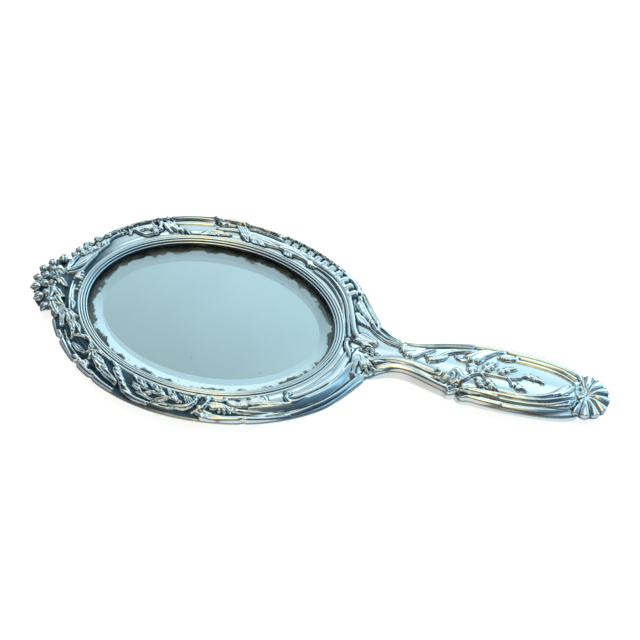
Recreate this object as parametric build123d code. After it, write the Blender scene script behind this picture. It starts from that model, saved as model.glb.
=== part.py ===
"""Silver-mounted hand mirror: stamped shells round a bevelled oval glass.

Frame: millimetres, +X from the crest towards the butt of the handle, +Z out of
the glass, origin under the middle of the overall length, in the plane that the
back rests on.
"""
from build123d import *
import math
import os

# ---------------------------------------------------------------- driving sizes
OVERALL_LENGTH = 290.0
HALF_LENGTH = OVERALL_LENGTH / 2
HEAD_HALF_WIDTH = 60.6          # widest point of the head, from the long axis
NECK_HALF_WIDTH = 8.8           # narrowest point, between head and grip
GRIP_HALF_WIDTH = 17.4          # widest point of the grip
GLASS_X = -53.0                 # centre of the oval glass
LIP_A = 62.0                    # semi-axes of the opening inside the bezel's lip
LIP_B = 43.2
SHEET = 0.8                     # stamped silver sheet
GAP = 0.05                      # working clearance between separate pieces

# levels above the resting plane
SEAM_Z = 9.2                    # front and back shells meet here
CROWN_Z = 12.9                  # top of the front shell
FIELD_Z = 9.0                   # flat face of the glass
GLASS_REAR_Z = 5.6
BEVEL_EDGE_Z = 7.2              # top of the thin edge that the bevel leaves
LIP_TOP_Z = 11.2
REEDS = 4                       # reeds of the bezel, each a step above the last
REED_STEP = 0.35
REED_ROUNDING = 0.2
CREST_TOP_Z = 15.5

FRONT_ROUNDING = 3.0            # of the front shell's outer edge

# back of the head: a pan that drops from its edge towards a flat middle
PAN_EDGE_Z = 8.8
PAN_REACH = 34.0                # distance inside the edge where the pan becomes flat
PAN_POWER = 4
PAN_INSETS = (0.0, 3.0, 6.5, 11.0, 18.0, PAN_REACH)

# back of the grip: the lower half of an ellipsoid, cut off at the resting plane
GRIP_CENTRE_X = 82.0
GRIP_SEMI_AXES = (100.0, 18.8, 9.4)

# distances measured outwards from the lip of the bezel
FIELD_OFFSET = -7.3
GLASS_OFFSET = 2.6
FELT_OUTER = 4.15
WALL_INNER = 4.2
BEZEL_OUTER = 5.0

# pieces behind the glass
COAT = 0.1
CARD = 0.6
BOARD_OFFSET = 4.1
BOARD_TOP_Z = GLASS_REAR_Z - 2 * COAT - CARD - GAP
BOARD_BASE_Z = 2.3
FILL_INSET = 1.6                # the filling stays clear of the rear of the stamped relief
FILL_TOP_Z = 10.0

# steel tang and its screws
TANG_START_X = -6.0
TANG_END_X = 112.0
TANG_WIDTH = 8.0
TANG_BASE_Z = 2.7
TANG_TOP_Z = 4.0
TANG_CORNER = 2.0
SCREW_XS = (-1.0, 8.0)
SCREW_RADIUS = 0.9
SCREW_HEAD_RADIUS = 1.8
SCREW_HEAD = 0.6                # thickness of the head
SCREW_TIP_Z = 4.6

FILL_SPLIT_X = 32.0             # the head's filling ends and the grip's core starts
WIRE_WIDTH = 0.45
WIRE_HALF_HEIGHT = 0.5

HEAD_END_X = -132.5             # end of the stamped head, under the crest
GRIP_END_X = 133.5              # end of the stamped grip, under the scallop

# plan outline of one side: two elliptical quarters, then four Bezier curves
HEAD_CENTRE_X = -55.0
CREST_SEMI_X = HEAD_CENTRE_X - HEAD_END_X
SHOULDER_SEMI_X = 88.0
SHOULDER_X = 12.0               # the shoulder's ellipse stops here
NECK_X = 45.0
GRIP_WIDEST_X = 92.0
BUTT_X = 128.0                  # the grip's taper turns into its rounded end here
BUTT_HALF_WIDTH = 12.8
# how far the Bezier handles reach along the tangent at each joint
SHOULDER_REACH = 10.0
NECK_REACH_BACK = 16.0
NECK_REACH = 9.0
GRIP_REACH_BACK = 24.0
GRIP_REACH = 16.0
BUTT_REACH_BACK = (8.0, 3.4)
BUTT_REACH = (3.5, 1.5)
END_REACH = 5.0


# ---------------------------------------------------------------- plan shapes
def side_curves(inset):
    """One side of the outline, from the crest to the butt, moved inwards by inset."""
    head_y = HEAD_HALF_WIDTH - inset
    neck_y = NECK_HALF_WIDTH - inset
    grip_y = GRIP_HALF_WIDTH - inset
    butt_x = GRIP_END_X - inset
    shoulder_semi_x = SHOULDER_SEMI_X - inset
    share = (SHOULDER_X - HEAD_CENTRE_X) / SHOULDER_SEMI_X
    shoulder_x = HEAD_CENTRE_X + share * shoulder_semi_x
    shoulder_y = head_y * math.sqrt(1 - share**2)
    slope = -(head_y / shoulder_semi_x)**2 * (shoulder_x - HEAD_CENTRE_X) / shoulder_y
    shoulder_angle = math.degrees(math.acos(share))
    butt_y = BUTT_HALF_WIDTH - inset
    centre = (HEAD_CENTRE_X, 0)
    crest = EllipticalCenterArc(centre, CREST_SEMI_X - inset, head_y, 90, arc_size=90)
    shoulder = EllipticalCenterArc(
        centre, shoulder_semi_x, head_y, shoulder_angle, arc_size=90 - shoulder_angle)
    neck = Bezier(
        (shoulder_x, shoulder_y),
        (shoulder_x + SHOULDER_REACH, shoulder_y + SHOULDER_REACH * slope),
        (NECK_X - NECK_REACH_BACK, neck_y),
        (NECK_X, neck_y))
    grip = Bezier(
        (NECK_X, neck_y),
        (NECK_X + NECK_REACH, neck_y),
        (GRIP_WIDEST_X - GRIP_REACH_BACK, grip_y),
        (GRIP_WIDEST_X, grip_y))
    taper = Bezier(
        (GRIP_WIDEST_X, grip_y),
        (GRIP_WIDEST_X + GRIP_REACH, grip_y),
        (BUTT_X - BUTT_REACH_BACK[0], butt_y + BUTT_REACH_BACK[1]),
        (BUTT_X, butt_y))
    butt = Bezier(
        (BUTT_X, butt_y),
        (BUTT_X + BUTT_REACH[0], butt_y - BUTT_REACH[1]),
        (butt_x, butt_y - END_REACH),
        (butt_x, 0))
    return [crest, shoulder, neck, grip, taper, butt]


def outline(inset=0.0):
    """Outline of head and handle as a face, moved inwards by inset."""
    side = side_curves(inset)
    return make_face(side + [mirror(curve, about=Plane.XZ) for curve in side])


def oval(distance=0.0):
    """Oval face, distance outside the bezel's lip."""
    return Pos(GLASS_X, 0, 0) * Ellipse(LIP_A + distance, LIP_B + distance)


def slab(face, low, high):
    """Face extruded between two levels."""
    return extrude(Pos(0, 0, low) * face, amount=high - low)


# ---------------------------------------------------------------- stamped shells
def front_block(inset=0.0):
    """Solid under the front surface, with its upper edge rounded."""
    block = slab(outline(inset), SEAM_Z, CROWN_Z - inset)
    return fillet(block.edges().group_by(Axis.Z)[-1], FRONT_ROUNDING - inset)


def head_pan(inset=0.0):
    """Solid above the pan of the head, moved inwards by inset."""
    sections = []
    for pan_inset in reversed(PAN_INSETS):
        level = PAN_EDGE_Z * (1 - pan_inset / PAN_REACH)**PAN_POWER + inset
        shrink = pan_inset + inset
        semi_y = HEAD_HALF_WIDTH - shrink
        centre = (HEAD_CENTRE_X, 0)
        blunt = EllipticalCenterArc(centre, CREST_SEMI_X - shrink, semi_y, 90, arc_size=90)
        pointed = EllipticalCenterArc(centre, SHOULDER_SEMI_X - shrink, semi_y, 0, arc_size=90)
        side = [blunt, pointed]
        egg = make_face(side + [mirror(curve, about=Plane.XZ) for curve in side])
        sections.append(Pos(0, 0, level) * egg)
    return loft(sections) + slab(egg, PAN_EDGE_Z + inset, SEAM_Z)


def grip_body(inset=0.0):
    """Ellipsoid round the grip, moved inwards by inset."""
    ratios = [(semi - inset) / (GRIP_SEMI_AXES[2] - inset) for semi in GRIP_SEMI_AXES]
    ball = scale(Sphere(GRIP_SEMI_AXES[2] - inset), by=tuple(ratios))
    return Pos(GRIP_CENTRE_X, 0, SEAM_Z) * ball


def back_block(inset=0.0):
    """Solid above the back surface, as far up as the seam."""
    prism = slab(outline(inset), inset, SEAM_Z)
    return prism & (head_pan(inset) + grip_body(inset))


def make_front_shell():
    shell = front_block() - front_block(SHEET)
    return shell - slab(oval(BEZEL_OUTER + GAP), SEAM_Z, CREST_TOP_Z)


def make_back_shell():
    return back_block() - back_block(SHEET)


def make_edge_wire():
    """Flattened wire that covers the seam all the way round."""
    ring = outline(-WIRE_WIDTH) - outline()
    return slab(ring, SEAM_Z - WIRE_HALF_HEIGHT, SEAM_Z + WIRE_HALF_HEIGHT)


# ---------------------------------------------------------------- bezel and glass
def make_glass_bezel():
    """Channel-section ring: a lip, reeds that step up outwards, and an outer wall."""
    bezel = slab(oval(BEZEL_OUTER), BEZEL_FOOT_Z, LIP_TOP_Z)
    bezel -= slab(oval(WALL_INNER), BEZEL_FOOT_Z, LIP_TOP_Z - SHEET)
    pitch = (BEZEL_OUTER - SHEET) / REEDS
    for i in range(REEDS):
        top = LIP_TOP_Z + REED_STEP * (i + 1)
        step = slab(oval(BEZEL_OUTER) - oval(SHEET + i * pitch), top - REED_STEP, top)
        inner_rim = step.edges().group_by(Axis.Z)[-1].sort_by(SortBy.LENGTH)[0]
        bezel += fillet(inner_rim, REED_ROUNDING)
    lip = slab(oval(SHEET), LIP_FOOT_Z, LIP_TOP_Z)
    return bezel + lip - slab(oval(), LIP_FOOT_Z - 1, CREST_TOP_Z)


def bevel_level(distance):
    """Level of the bevelled surface, distance outside the lip."""
    share = (GLASS_OFFSET - distance) / (GLASS_OFFSET - FIELD_OFFSET)
    return BEVEL_EDGE_Z + share * (FIELD_Z - BEVEL_EDGE_Z)


LIP_FOOT_Z = bevel_level(0.0) + GAP
BEZEL_FOOT_Z = GLASS_REAR_Z - 2 * COAT


def make_mirror_glass():
    edge = slab(oval(GLASS_OFFSET), GLASS_REAR_Z, BEVEL_EDGE_Z)
    bevel = loft([Pos(0, 0, BEVEL_EDGE_Z) * oval(GLASS_OFFSET), Pos(0, 0, FIELD_Z) * oval(FIELD_OFFSET)])
    return edge + bevel


def make_silvering():
    return slab(oval(GLASS_OFFSET), GLASS_REAR_Z - COAT, GLASS_REAR_Z)


def make_backing_paint():
    return slab(oval(GLASS_OFFSET), GLASS_REAR_Z - 2 * COAT, GLASS_REAR_Z - COAT)


def make_edge_felt():
    """Felt strip between the edge of the glass and the bezel's wall."""
    return slab(oval(FELT_OUTER) - oval(GLASS_OFFSET + GAP), GLASS_REAR_Z, BEVEL_EDGE_Z)


def make_cushion_card():
    top = GLASS_REAR_Z - 2 * COAT
    return slab(oval(BOARD_OFFSET), top - CARD, top)


# ---------------------------------------------------------------- inside
def tang_block(clearance=0.0):
    width = TANG_WIDTH + 2 * clearance
    bar = Pos((TANG_START_X + TANG_END_X) / 2, 0, (TANG_BASE_Z + TANG_TOP_Z) / 2) * Box(
        TANG_END_X - TANG_START_X + 2 * clearance, width, TANG_TOP_Z - TANG_BASE_Z + 2 * clearance)
    return fillet(bar.edges().filter_by(Axis.Z), TANG_CORNER)


def screws(clearance=0.0):
    """The two screws, as one group."""
    found = []
    for x in SCREW_XS:
        shank = Pos(x, 0, 0) * slab(Circle(SCREW_RADIUS + clearance), TANG_BASE_Z, SCREW_TIP_Z + clearance)
        head = Pos(x, 0, 0) * slab(
            Circle(SCREW_HEAD_RADIUS + clearance), TANG_BASE_Z - SCREW_HEAD - clearance, TANG_BASE_Z)
        found.append(shank + head)
    return found


def make_backing_board():
    board = slab(oval(BOARD_OFFSET), BOARD_BASE_Z, BOARD_TOP_Z)
    groove = Rectangle(TANG_END_X - TANG_START_X + 2 * GAP, TANG_WIDTH + 2 * GAP)
    board -= Pos((TANG_START_X + TANG_END_X) / 2, 0, 0) * slab(groove, BOARD_BASE_Z, TANG_TOP_Z + GAP)
    for screw in screws(GAP):
        board -= screw
    return board


def make_tang():
    tang = tang_block()
    for x in SCREW_XS:
        tang -= Pos(x, 0, 0) * slab(Circle(SCREW_RADIUS + GAP), TANG_BASE_Z - 1, TANG_TOP_Z + 1)
    return tang


def inner_space():
    """All the room between the shells, less the well that holds the glass."""
    space = slab(outline(FILL_INSET), SEAM_Z, FILL_TOP_Z) + back_block(FILL_INSET)
    space -= slab(oval(BEZEL_OUTER + 2 * GAP), BOARD_BASE_Z - GAP, CREST_TOP_Z)
    for screw in screws(GAP):
        space -= screw
    return space - tang_block(GAP)


def half_space(centre_x):
    """Block that reaches an overall length to either side of centre_x."""
    return Pos(centre_x, 0, 0) * Box(2 * OVERALL_LENGTH, OVERALL_LENGTH, OVERALL_LENGTH)


def make_frame_fill():
    return inner_space() & half_space(FILL_SPLIT_X - OVERALL_LENGTH)


def make_handle_core():
    return inner_space() & half_space(FILL_SPLIT_X + GAP + OVERALL_LENGTH)


# ---------------------------------------------------------------- cast ornaments
BUD_RADIUS = 3.0
BUD_TOP_Z = CREST_TOP_Z - 1.0
# buds round the outside of the crest, then the flower heads between them: x, y
CREST_BUDS = [(-132.0, 14.5), (-137.0, 11.0), (-140.4, 6.0), (-142.0, 0.5), (-142.0, -5.0),
              (-140.6, -10.0), (-136.8, -14.6), (-132.0, -17.6)]
CREST_FLOWERS = [(-135.0, 6.0), (-136.4, -1.5), (-135.0, -8.5), (-130.5, 2.0), (-130.0, -6.0)]
FLOWER_RADIUS = 3.6
CREST_PLATE = (10.6, 16.6)      # semi-axes of the plate behind the flowers
CREST_CENTRE = (-132.4, -1.5)
CREST_BASE_Z = 5.4
CREST_PLATE_Z = 13.5
CREST_ROUNDING = 2.5
SCALLOP_CENTRE_X = 132.6
SCALLOP_SEMI_Y = 12.0
SCALLOP_BASE_Z = 3.4
SCALLOP_TOP_Z = 12.3
SCALLOP_ROUNDING = 2.6
GROOVES = 6                     # between the seven flutes of the fan
GROOVE_RADIUS = 1.2
GROOVE_AXIS_Z = SCALLOP_TOP_Z + 0.5
GROOVE_PITCH = 23.0             # degrees


def envelope():
    """Everything inside the shells and the edge wire, with a small clearance."""
    rim = slab(outline(-WIRE_WIDTH - GAP), SEAM_Z - WIRE_HALF_HEIGHT - GAP, SEAM_Z + WIRE_HALF_HEIGHT + GAP)
    return front_block(-GAP) + back_block(-GAP) + rim


def cushion(face, low, high, rounding):
    """Slab with both of its outer edges rounded."""
    block = slab(face, low, high)
    layers = block.edges().group_by(Axis.Z)
    return fillet(layers[0] + layers[-1], rounding)


def make_crest_bouquet():
    """Cast spray of buds and flower heads on the end of the head."""
    plate = cushion(Ellipse(*CREST_PLATE), CREST_BASE_Z, CREST_PLATE_Z, CREST_ROUNDING)
    bouquet = Pos(*CREST_CENTRE) * plate
    for x, y in CREST_BUDS:
        bouquet += Pos(x, y, BUD_TOP_Z - BUD_RADIUS) * Sphere(BUD_RADIUS)
    for x, y in CREST_FLOWERS:
        bouquet += Pos(x, y, CREST_TOP_Z - FLOWER_RADIUS) * Sphere(FLOWER_RADIUS)
    return largest(bouquet - envelope())


def make_butt_scallop():
    """Cast scallop on the end of the grip, fluted like a fan."""
    semi_x = HALF_LENGTH - SCALLOP_CENTRE_X
    outer = Ellipse(semi_x, SCALLOP_SEMI_Y)
    fan = Pos(SCALLOP_CENTRE_X, 0) * cushion(outer, SCALLOP_BASE_Z, SCALLOP_TOP_Z, SCALLOP_ROUNDING)
    groove = Rot(0, 90, 0) * Cylinder(
        GROOVE_RADIUS, 2 * semi_x, align=(Align.CENTER, Align.CENTER, Align.MIN))
    for i in range(GROOVES):
        turn = (i - (GROOVES - 1) / 2) * GROOVE_PITCH
        fan -= Pos(SCALLOP_CENTRE_X, 0, GROOVE_AXIS_Z) * Rot(0, 0, turn) * groove
    return largest(fan - envelope())


def largest(shape):
    """The biggest solid of a shape, as one piece."""
    return sorted(shape.solids(), key=lambda solid: solid.volume)[-1]


# ---------------------------------------------------------------- writing
PIECES = {
    "front_shell": make_front_shell,
    "back_shell": make_back_shell,
    "edge_wire": make_edge_wire,
    "glass_bezel": make_glass_bezel,
    "mirror_glass": make_mirror_glass,
    "silvering": make_silvering,
    "backing_paint": make_backing_paint,
    "edge_felt": make_edge_felt,
    "cushion_card": make_cushion_card,
    "backing_board": make_backing_board,
    "frame_fill": make_frame_fill,
    "handle_core": make_handle_core,
    "tang": make_tang,
    "crest_bouquet": make_crest_bouquet,
    "butt_scallop": make_butt_scallop,
}

os.makedirs("parts", exist_ok=True)
for name, make in PIECES.items():
    export_step(make(), f"parts/{name}.step")
export_step(Compound(children=[screw.solid() for screw in screws()]), "parts/tang_screws.step")
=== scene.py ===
import math

import bmesh
import bpy
import numpy as np
from mathutils import Matrix, Vector


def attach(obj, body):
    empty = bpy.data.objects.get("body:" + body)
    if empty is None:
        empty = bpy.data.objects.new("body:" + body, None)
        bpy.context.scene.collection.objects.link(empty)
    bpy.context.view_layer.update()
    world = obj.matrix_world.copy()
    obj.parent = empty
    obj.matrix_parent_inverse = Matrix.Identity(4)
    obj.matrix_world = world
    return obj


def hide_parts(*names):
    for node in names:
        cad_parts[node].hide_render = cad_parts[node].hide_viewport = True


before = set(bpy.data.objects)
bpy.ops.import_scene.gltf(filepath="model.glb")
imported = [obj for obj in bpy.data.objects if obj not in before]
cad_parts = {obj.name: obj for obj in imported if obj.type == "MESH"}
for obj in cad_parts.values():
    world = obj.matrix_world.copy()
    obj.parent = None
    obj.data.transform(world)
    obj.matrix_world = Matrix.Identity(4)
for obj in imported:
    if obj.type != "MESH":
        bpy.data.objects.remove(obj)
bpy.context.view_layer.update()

MM = 0.001
SAME_POINT = 2e-6               # metres: closer points are joined

# ---------------------------------------------------------------- shared shape of the frame
GLASS_X, LIP_A, LIP_B = -53.0, 62.0, 43.2       # oval opening inside the bezel's lip
BEZEL_OUTER = 5.0                               # width of the bezel
HEAD_X, HEAD_Y = -55.0, 60.6                    # middle and half-width of the head
CREST_A, SHOULDER_A = 77.5, 88.0                # semi-axes of its two halves
SHOULDER_X = 12.0
NECK = (45.0, 8.8)
GRIP = (92.0, 17.4)
BUTT = (128.0, 12.8)
END_X = 133.5
SEAM_Z = 9.2
RIM_RADIUS = 2.4                                # rounding of the front's outer edge


def bezier(points, count):
    """Cubic curve, without its last point."""
    t = np.linspace(0, 1, count, endpoint=False)[:, None]
    p0, p1, p2, p3 = [np.array(p, float) for p in points]
    return (1 - t)**3 * p0 + 3 * t * (1 - t)**2 * p1 + 3 * t**2 * (1 - t) * p2 + t**3 * p3


def ellipse_arc(centre_x, a, b, start, end, count):
    """Arc of an ellipse whose middle lies on the axis, without its last point."""
    angle = np.linspace(start, end, count, endpoint=False)
    return np.stack([centre_x + a * np.cos(angle), b * np.sin(angle)], 1)


def side_outline(counts):
    """One side of the outline from the crest to the butt, counts points on each stretch."""
    share = (SHOULDER_X - HEAD_X) / SHOULDER_A
    turn = math.acos(share)
    y = HEAD_Y * math.sqrt(1 - share**2)
    slope = -(HEAD_Y / SHOULDER_A)**2 * (SHOULDER_X - HEAD_X) / y
    pieces = [
        ellipse_arc(HEAD_X, CREST_A, HEAD_Y, math.pi, math.pi / 2, counts[0]),
        ellipse_arc(HEAD_X, SHOULDER_A, HEAD_Y, math.pi / 2, turn, counts[1]),
        bezier([(SHOULDER_X, y), (SHOULDER_X + 10, y + 10 * slope), (NECK[0] - 16, NECK[1]), NECK],
               counts[2]),
        bezier([NECK, (NECK[0] + 9, NECK[1]), (GRIP[0] - 24, GRIP[1]), GRIP], counts[3]),
        bezier([GRIP, (GRIP[0] + 16, GRIP[1]), (BUTT[0] - 8, BUTT[1] + 3.4), BUTT], counts[4]),
        bezier([BUTT, (BUTT[0] + 3.5, BUTT[1] - 1.5), (END_X, BUTT[1] - 5), (END_X, 0)], counts[5]),
        np.array([(END_X, 0.0)]),
    ]
    return np.concatenate(pieces)


# dents where two leaves meet on the outline and, with a depth below zero, bulges where a scroll
# crosses it: x, side, depth inwards, half-length
NOTCHES = [
    (-120.2, -1, 1.4, 1.2), (-108.0, -1, 1.4, 1.2), (-127.5, -1, 0.9, 1.2), (-98.0, -1, 0.7, 1.3),
    (30.5, 1, 1.0, 1.5), (29.0, -1, 1.0, 1.4), (16.5, 1, 0.7, 1.3), (71.6, -1, 0.9, 1.2),
    (-124.0, 1, 1.2, 1.3), (-128.5, 1, 1.2, 1.3), (-119.0, 1, 0.8, 1.2), (-21.5, -1, 0.5, 1.2),
    (68.6, -1, -0.9, 1.6), (75.6, -1, -1.3, 2.2),
]


def outline_with_notches(counts, side):
    """Outline and inward normals of one side (+1 or -1), dented by the notches."""
    points = side_outline(counts)
    points[:, 1] *= side
    along = np.gradient(points, axis=0)
    along /= np.linalg.norm(along, axis=1)[:, None]
    inward = np.stack([along[:, 1], -along[:, 0]], 1) * side
    for x, notch_side, depth, half in NOTCHES:
        if notch_side == side:
            middle = points[np.argmin(np.abs(points[:, 0] - x))]
            gap = np.linalg.norm(points - middle, axis=1)
            points = points + inward * (depth * np.exp(-(gap / half)**2))[:, None]
    return points, inward


# ---------------------------------------------------------------- meshes
def make_object(name, vertices, faces, material, smooth=True, attributes=None):
    """Mesh object from millimetre vertices, with optional scalar attributes on its points."""
    mesh = bpy.data.meshes.new(name)
    mesh.from_pydata((np.asarray(vertices) * MM).tolist(), [], faces)
    mesh.validate()
    if smooth:
        mesh.shade_smooth()
    for key, values in (attributes or {}).items():
        layer = mesh.attributes.new(key, "FLOAT", "POINT")
        layer.data.foreach_set("value", np.asarray(values, np.float32).ravel())
    mesh.materials.append(material)
    obj = bpy.data.objects.new(name, mesh)
    bpy.context.scene.collection.objects.link(obj)
    return obj


def grid_faces(rows, columns, start=0, wrap_rows=False, wrap_columns=False, flip=False):
    """Quads of a grid of points stored row by row."""
    last_row = rows if wrap_rows else rows - 1
    last_column = columns if wrap_columns else columns - 1
    faces = []
    for i in range(last_row):
        below = start + i * columns
        above = start + (i + 1) % rows * columns
        for j in range(last_column):
            k = (j + 1) % columns
            quad = (below + j, below + k, above + k, above + j)
            faces.append(quad[::-1] if flip else quad)
    return faces


def finish_piece(obj, nodes):
    """Puts a piece on its body, in place of its CAD nodes."""
    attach(obj, "root")
    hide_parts(*nodes)
    return obj


def weld(obj):
    """Joins points that lie on each other."""
    bm = bmesh.new()
    bm.from_mesh(obj.data)
    bmesh.ops.remove_doubles(bm, verts=bm.verts, dist=SAME_POINT)
    bm.to_mesh(obj.data)
    bm.free()
    obj.data.shade_smooth()


class Grids:
    """Gathers grids of points, each with its darkening (tarnish, and on some pieces painted shade), into
    one silver piece.
    """

    def __init__(self):
        self.vertices = []
        self.faces = []
        self.patina_and_painted_shade = []
        self.count = 0

    def add(self, points, patina_and_painted_shade, **wrapping):
        self.faces += grid_faces(*patina_and_painted_shade.shape, self.count, **wrapping)
        self.vertices.append(points.reshape(-1, 3))
        self.patina_and_painted_shade.append(patina_and_painted_shade.ravel())
        self.count += patina_and_painted_shade.size

    def build(self, name, material, node, seam=False):
        """Makes the piece that replaces a node; seam joins points that lie on each other."""
        obj = make_object(name, np.concatenate(self.vertices), self.faces, material,
                          attributes={"patina_and_painted_shade": np.concatenate(self.patina_and_painted_shade)})
        if seam:
            weld(obj)
        return finish_piece(obj, [node])


def full_turn(count):
    return np.linspace(0, 2 * math.pi, count, endpoint=False)


# ---------------------------------------------------------------- relief tools
def smoothstep(low, high, value):
    """0 at low, 1 at high, smooth between them; low may be the larger."""
    t = np.clip((value - low) / (high - low), 0, 1)
    return t * t * (3 - 2 * t)


def spline(points, steps=9):
    """Smooth curve through given points."""
    p = np.array(points, float)
    if len(p) == 2:
        return p
    p = np.vstack([2 * p[0] - p[1], p, 2 * p[-1] - p[-2]])
    t = np.linspace(0, 1, steps, endpoint=False)[:, None]
    out = []
    for a, b, c, d in zip(p, p[1:], p[2:], p[3:]):
        out.append(0.5 * (2 * b + (c - a) * t + (2 * a - 5 * b + 4 * c - d) * t**2
                          + (3 * b - a - 3 * c + d) * t**3))
    return np.vstack(out + [p[-2][None]])


def distances(path):
    """Length along a path, at each of its points."""
    return np.concatenate([[0], np.cumsum(np.linalg.norm(np.diff(path, axis=0), axis=1))])


def section_height(kind, r, side, s):
    """Height 0..1 across a stroke: r is 0 on its middle line and 1 at its edge."""
    round_top = np.sqrt(np.clip(1 - r * r, 0, 1))
    if kind == "reed":
        return round_top
    if kind == "leaf":
        veins = 0.06 * np.cos(2 * np.pi * (4 * s - 0.9 * r)) * smoothstep(0.2, 0.6, r)
        return round_top * (1 - 0.38 * np.exp(-(r / 0.24)**2)) + veins * round_top
    if kind == "husk":
        return round_top * (0.55 + 0.45 * r) + 0.25 * np.exp(-(r / 0.2)**2) * round_top
    if kind == "sunk":
        rim = np.exp(-((r - 0.72) / 0.2)**2)
        vein = 0.3 * np.exp(-(r / 0.14)**2)
        return np.maximum(rim, 0.42 * (r < 0.72)) * smoothstep(1.0, 0.86, r) + vein
    if kind == "flute":
        return (0.45 + 0.55 * smoothstep(0.2, 0.85, r)) * smoothstep(1.0, 0.9, r)
    if kind == "curl":
        tilt = 0.5 + 0.5 * side * r
        return round_top**0.7 * (0.25 + 0.75 * tilt)
    return (0.8 + 0.2 * round_top) * smoothstep(1.0, 0.8, r)


BOLDNESS = 1.16                 # widens every stroke
LOBE_SPACING = 0.6              # of an acanthus leaf, as a share of its width


class Relief:
    """Heights in millimetres above the ground, over a set of plan points."""

    def __init__(self, x, y):
        self.x = x
        self.y = y
        self.height = np.zeros_like(x)

    def near(self, points, reach):
        """Indices of the plan points inside the box round some points, reach wider on each side."""
        low = points.min(0) - reach
        high = points.max(0) + reach
        inside = (self.x > low[0]) & (self.x < high[0]) & (self.y > low[1]) & (self.y < high[1])
        return np.nonzero(inside)

    def stroke(self, kind, half_width, height, points, taper=(0.55, 1.0, 0.35), rise=(1.0, 1.0, 1.0)):
        """Ridge along a spline; taper and rise scale its width and height at start, middle, end."""
        path = spline(points)
        half_width = BOLDNESS * half_width
        length = distances(path)
        where = self.near(path, half_width)
        x, y = self.x[where], self.y[where]
        if len(x) == 0:
            return
        best = np.full(x.shape, 1e9)
        along = np.zeros_like(x)
        side = np.ones_like(x)
        for a, b, start, end in zip(path, path[1:], length, length[1:]):
            dx, dy = b - a
            span = max(end - start, 1e-6)
            t = np.clip(((x - a[0]) * dx + (y - a[1]) * dy) / span**2, 0, 1)
            ex, ey = x - a[0] - t * dx, y - a[1] - t * dy
            distance = np.hypot(ex, ey)
            closer = distance < best
            best = np.where(closer, distance, best)
            along = np.where(closer, start + t * span, along)
            side = np.where(closer, np.sign(dx * ey - dy * ex), side)
        s = along / length[-1]
        width = half_width * np.interp(s, [0, 0.45, 1], taper)
        r = best / np.maximum(width, 1e-3)
        found = height * np.interp(s, [0, 0.5, 1], rise) * section_height(kind, r, side, s)
        self.height[where] = np.maximum(self.height[where], np.where(r < 1, found, 0))

    def reed(self, *shape, **ends):
        self.stroke("reed", *shape, **ends)

    def leaf(self, *shape, **ends):
        self.stroke("leaf", *shape, **ends)

    def curl(self, *shape, **ends):
        self.stroke("curl", *shape, **ends)

    def sunk(self, *shape, **ends):
        self.stroke("sunk", *shape, **ends)

    def bead(self, x, y, radius, height, stretch=1.0, angle=0.0):
        """Small dome, stretched along angle (degrees)."""
        where = self.near(np.array([(x, y)]), radius * max(stretch, 1))
        dx, dy = self.x[where] - x, self.y[where] - y
        turn = math.radians(angle)
        u = (dx * math.cos(turn) + dy * math.sin(turn)) / stretch
        v = -dx * math.sin(turn) + dy * math.cos(turn)
        r = np.hypot(u, v) / radius
        found = height * np.sqrt(np.clip(1 - r * r, 0, 1))
        self.height[where] = np.maximum(self.height[where], found)

    def fingers(self, root, tips, half_width, height, bend=0.15):
        """Fan of teardrops from one root to several tips, each with a raised tip."""
        root = np.array(root, float)
        for tip in tips:
            tip = np.array(tip, float)
            across = np.array([-(tip - root)[1], (tip - root)[0]])
            middle = (root + tip) / 2 + bend * across
            self.reed(half_width, height, [root, middle, tip],
                      taper=(0.4, 0.75, 1.0), rise=(0.5, 0.8, 1.1))

    def acanthus(self, points, width, height, sides=(1, -1), lean=50.0):
        """Curling leaf: lobes on either side of a middle rib, shorter towards the tip."""
        path = spline(points)
        length = distances(path)
        lobes = max(2, round(length[-1] / (LOBE_SPACING * width)))
        spacing = length[-1] / lobes

        def point(share):
            return np.array([np.interp(share * length[-1], length, path[:, k]) for k in (0, 1)])

        for side in sides:
            for i in range(lobes):
                s = (i + 0.2) / lobes
                at = point(s)
                ahead = point(min(s + 0.06, 1)) - at
                turn = math.atan2(ahead[1], ahead[0]) + side * math.radians(lean * (1 - 0.45 * s))
                reach = width * (1 - 0.5 * s) * (0.75 + 0.25 * math.sin(math.pi * min(1, s + 0.25)))
                out = np.array([math.cos(turn), math.sin(turn)])
                forward = ahead / max(np.linalg.norm(ahead), 1e-6)
                lobe = [at, at + out * reach * 0.5, at + out * reach * 0.78 + forward * reach * 0.5]
                self.reed(max(0.7, spacing * 0.55), height * 0.9, lobe,
                          taper=(0.6, 1.0, 0.75), rise=(0.75, 0.9, 0.9))
        self.stroke("husk", max(0.5, width * 0.2), height, points, taper=(1.0, 0.9, 0.45))

    def scroll(self, points, half_width, height, head=1.5):
        """Stroke that ends in a raised round head."""
        self.reed(half_width, height, points, taper=(0.35, 1.0, 0.7))
        self.bead(*points[-1], half_width * head, height * 1.25)


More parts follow.
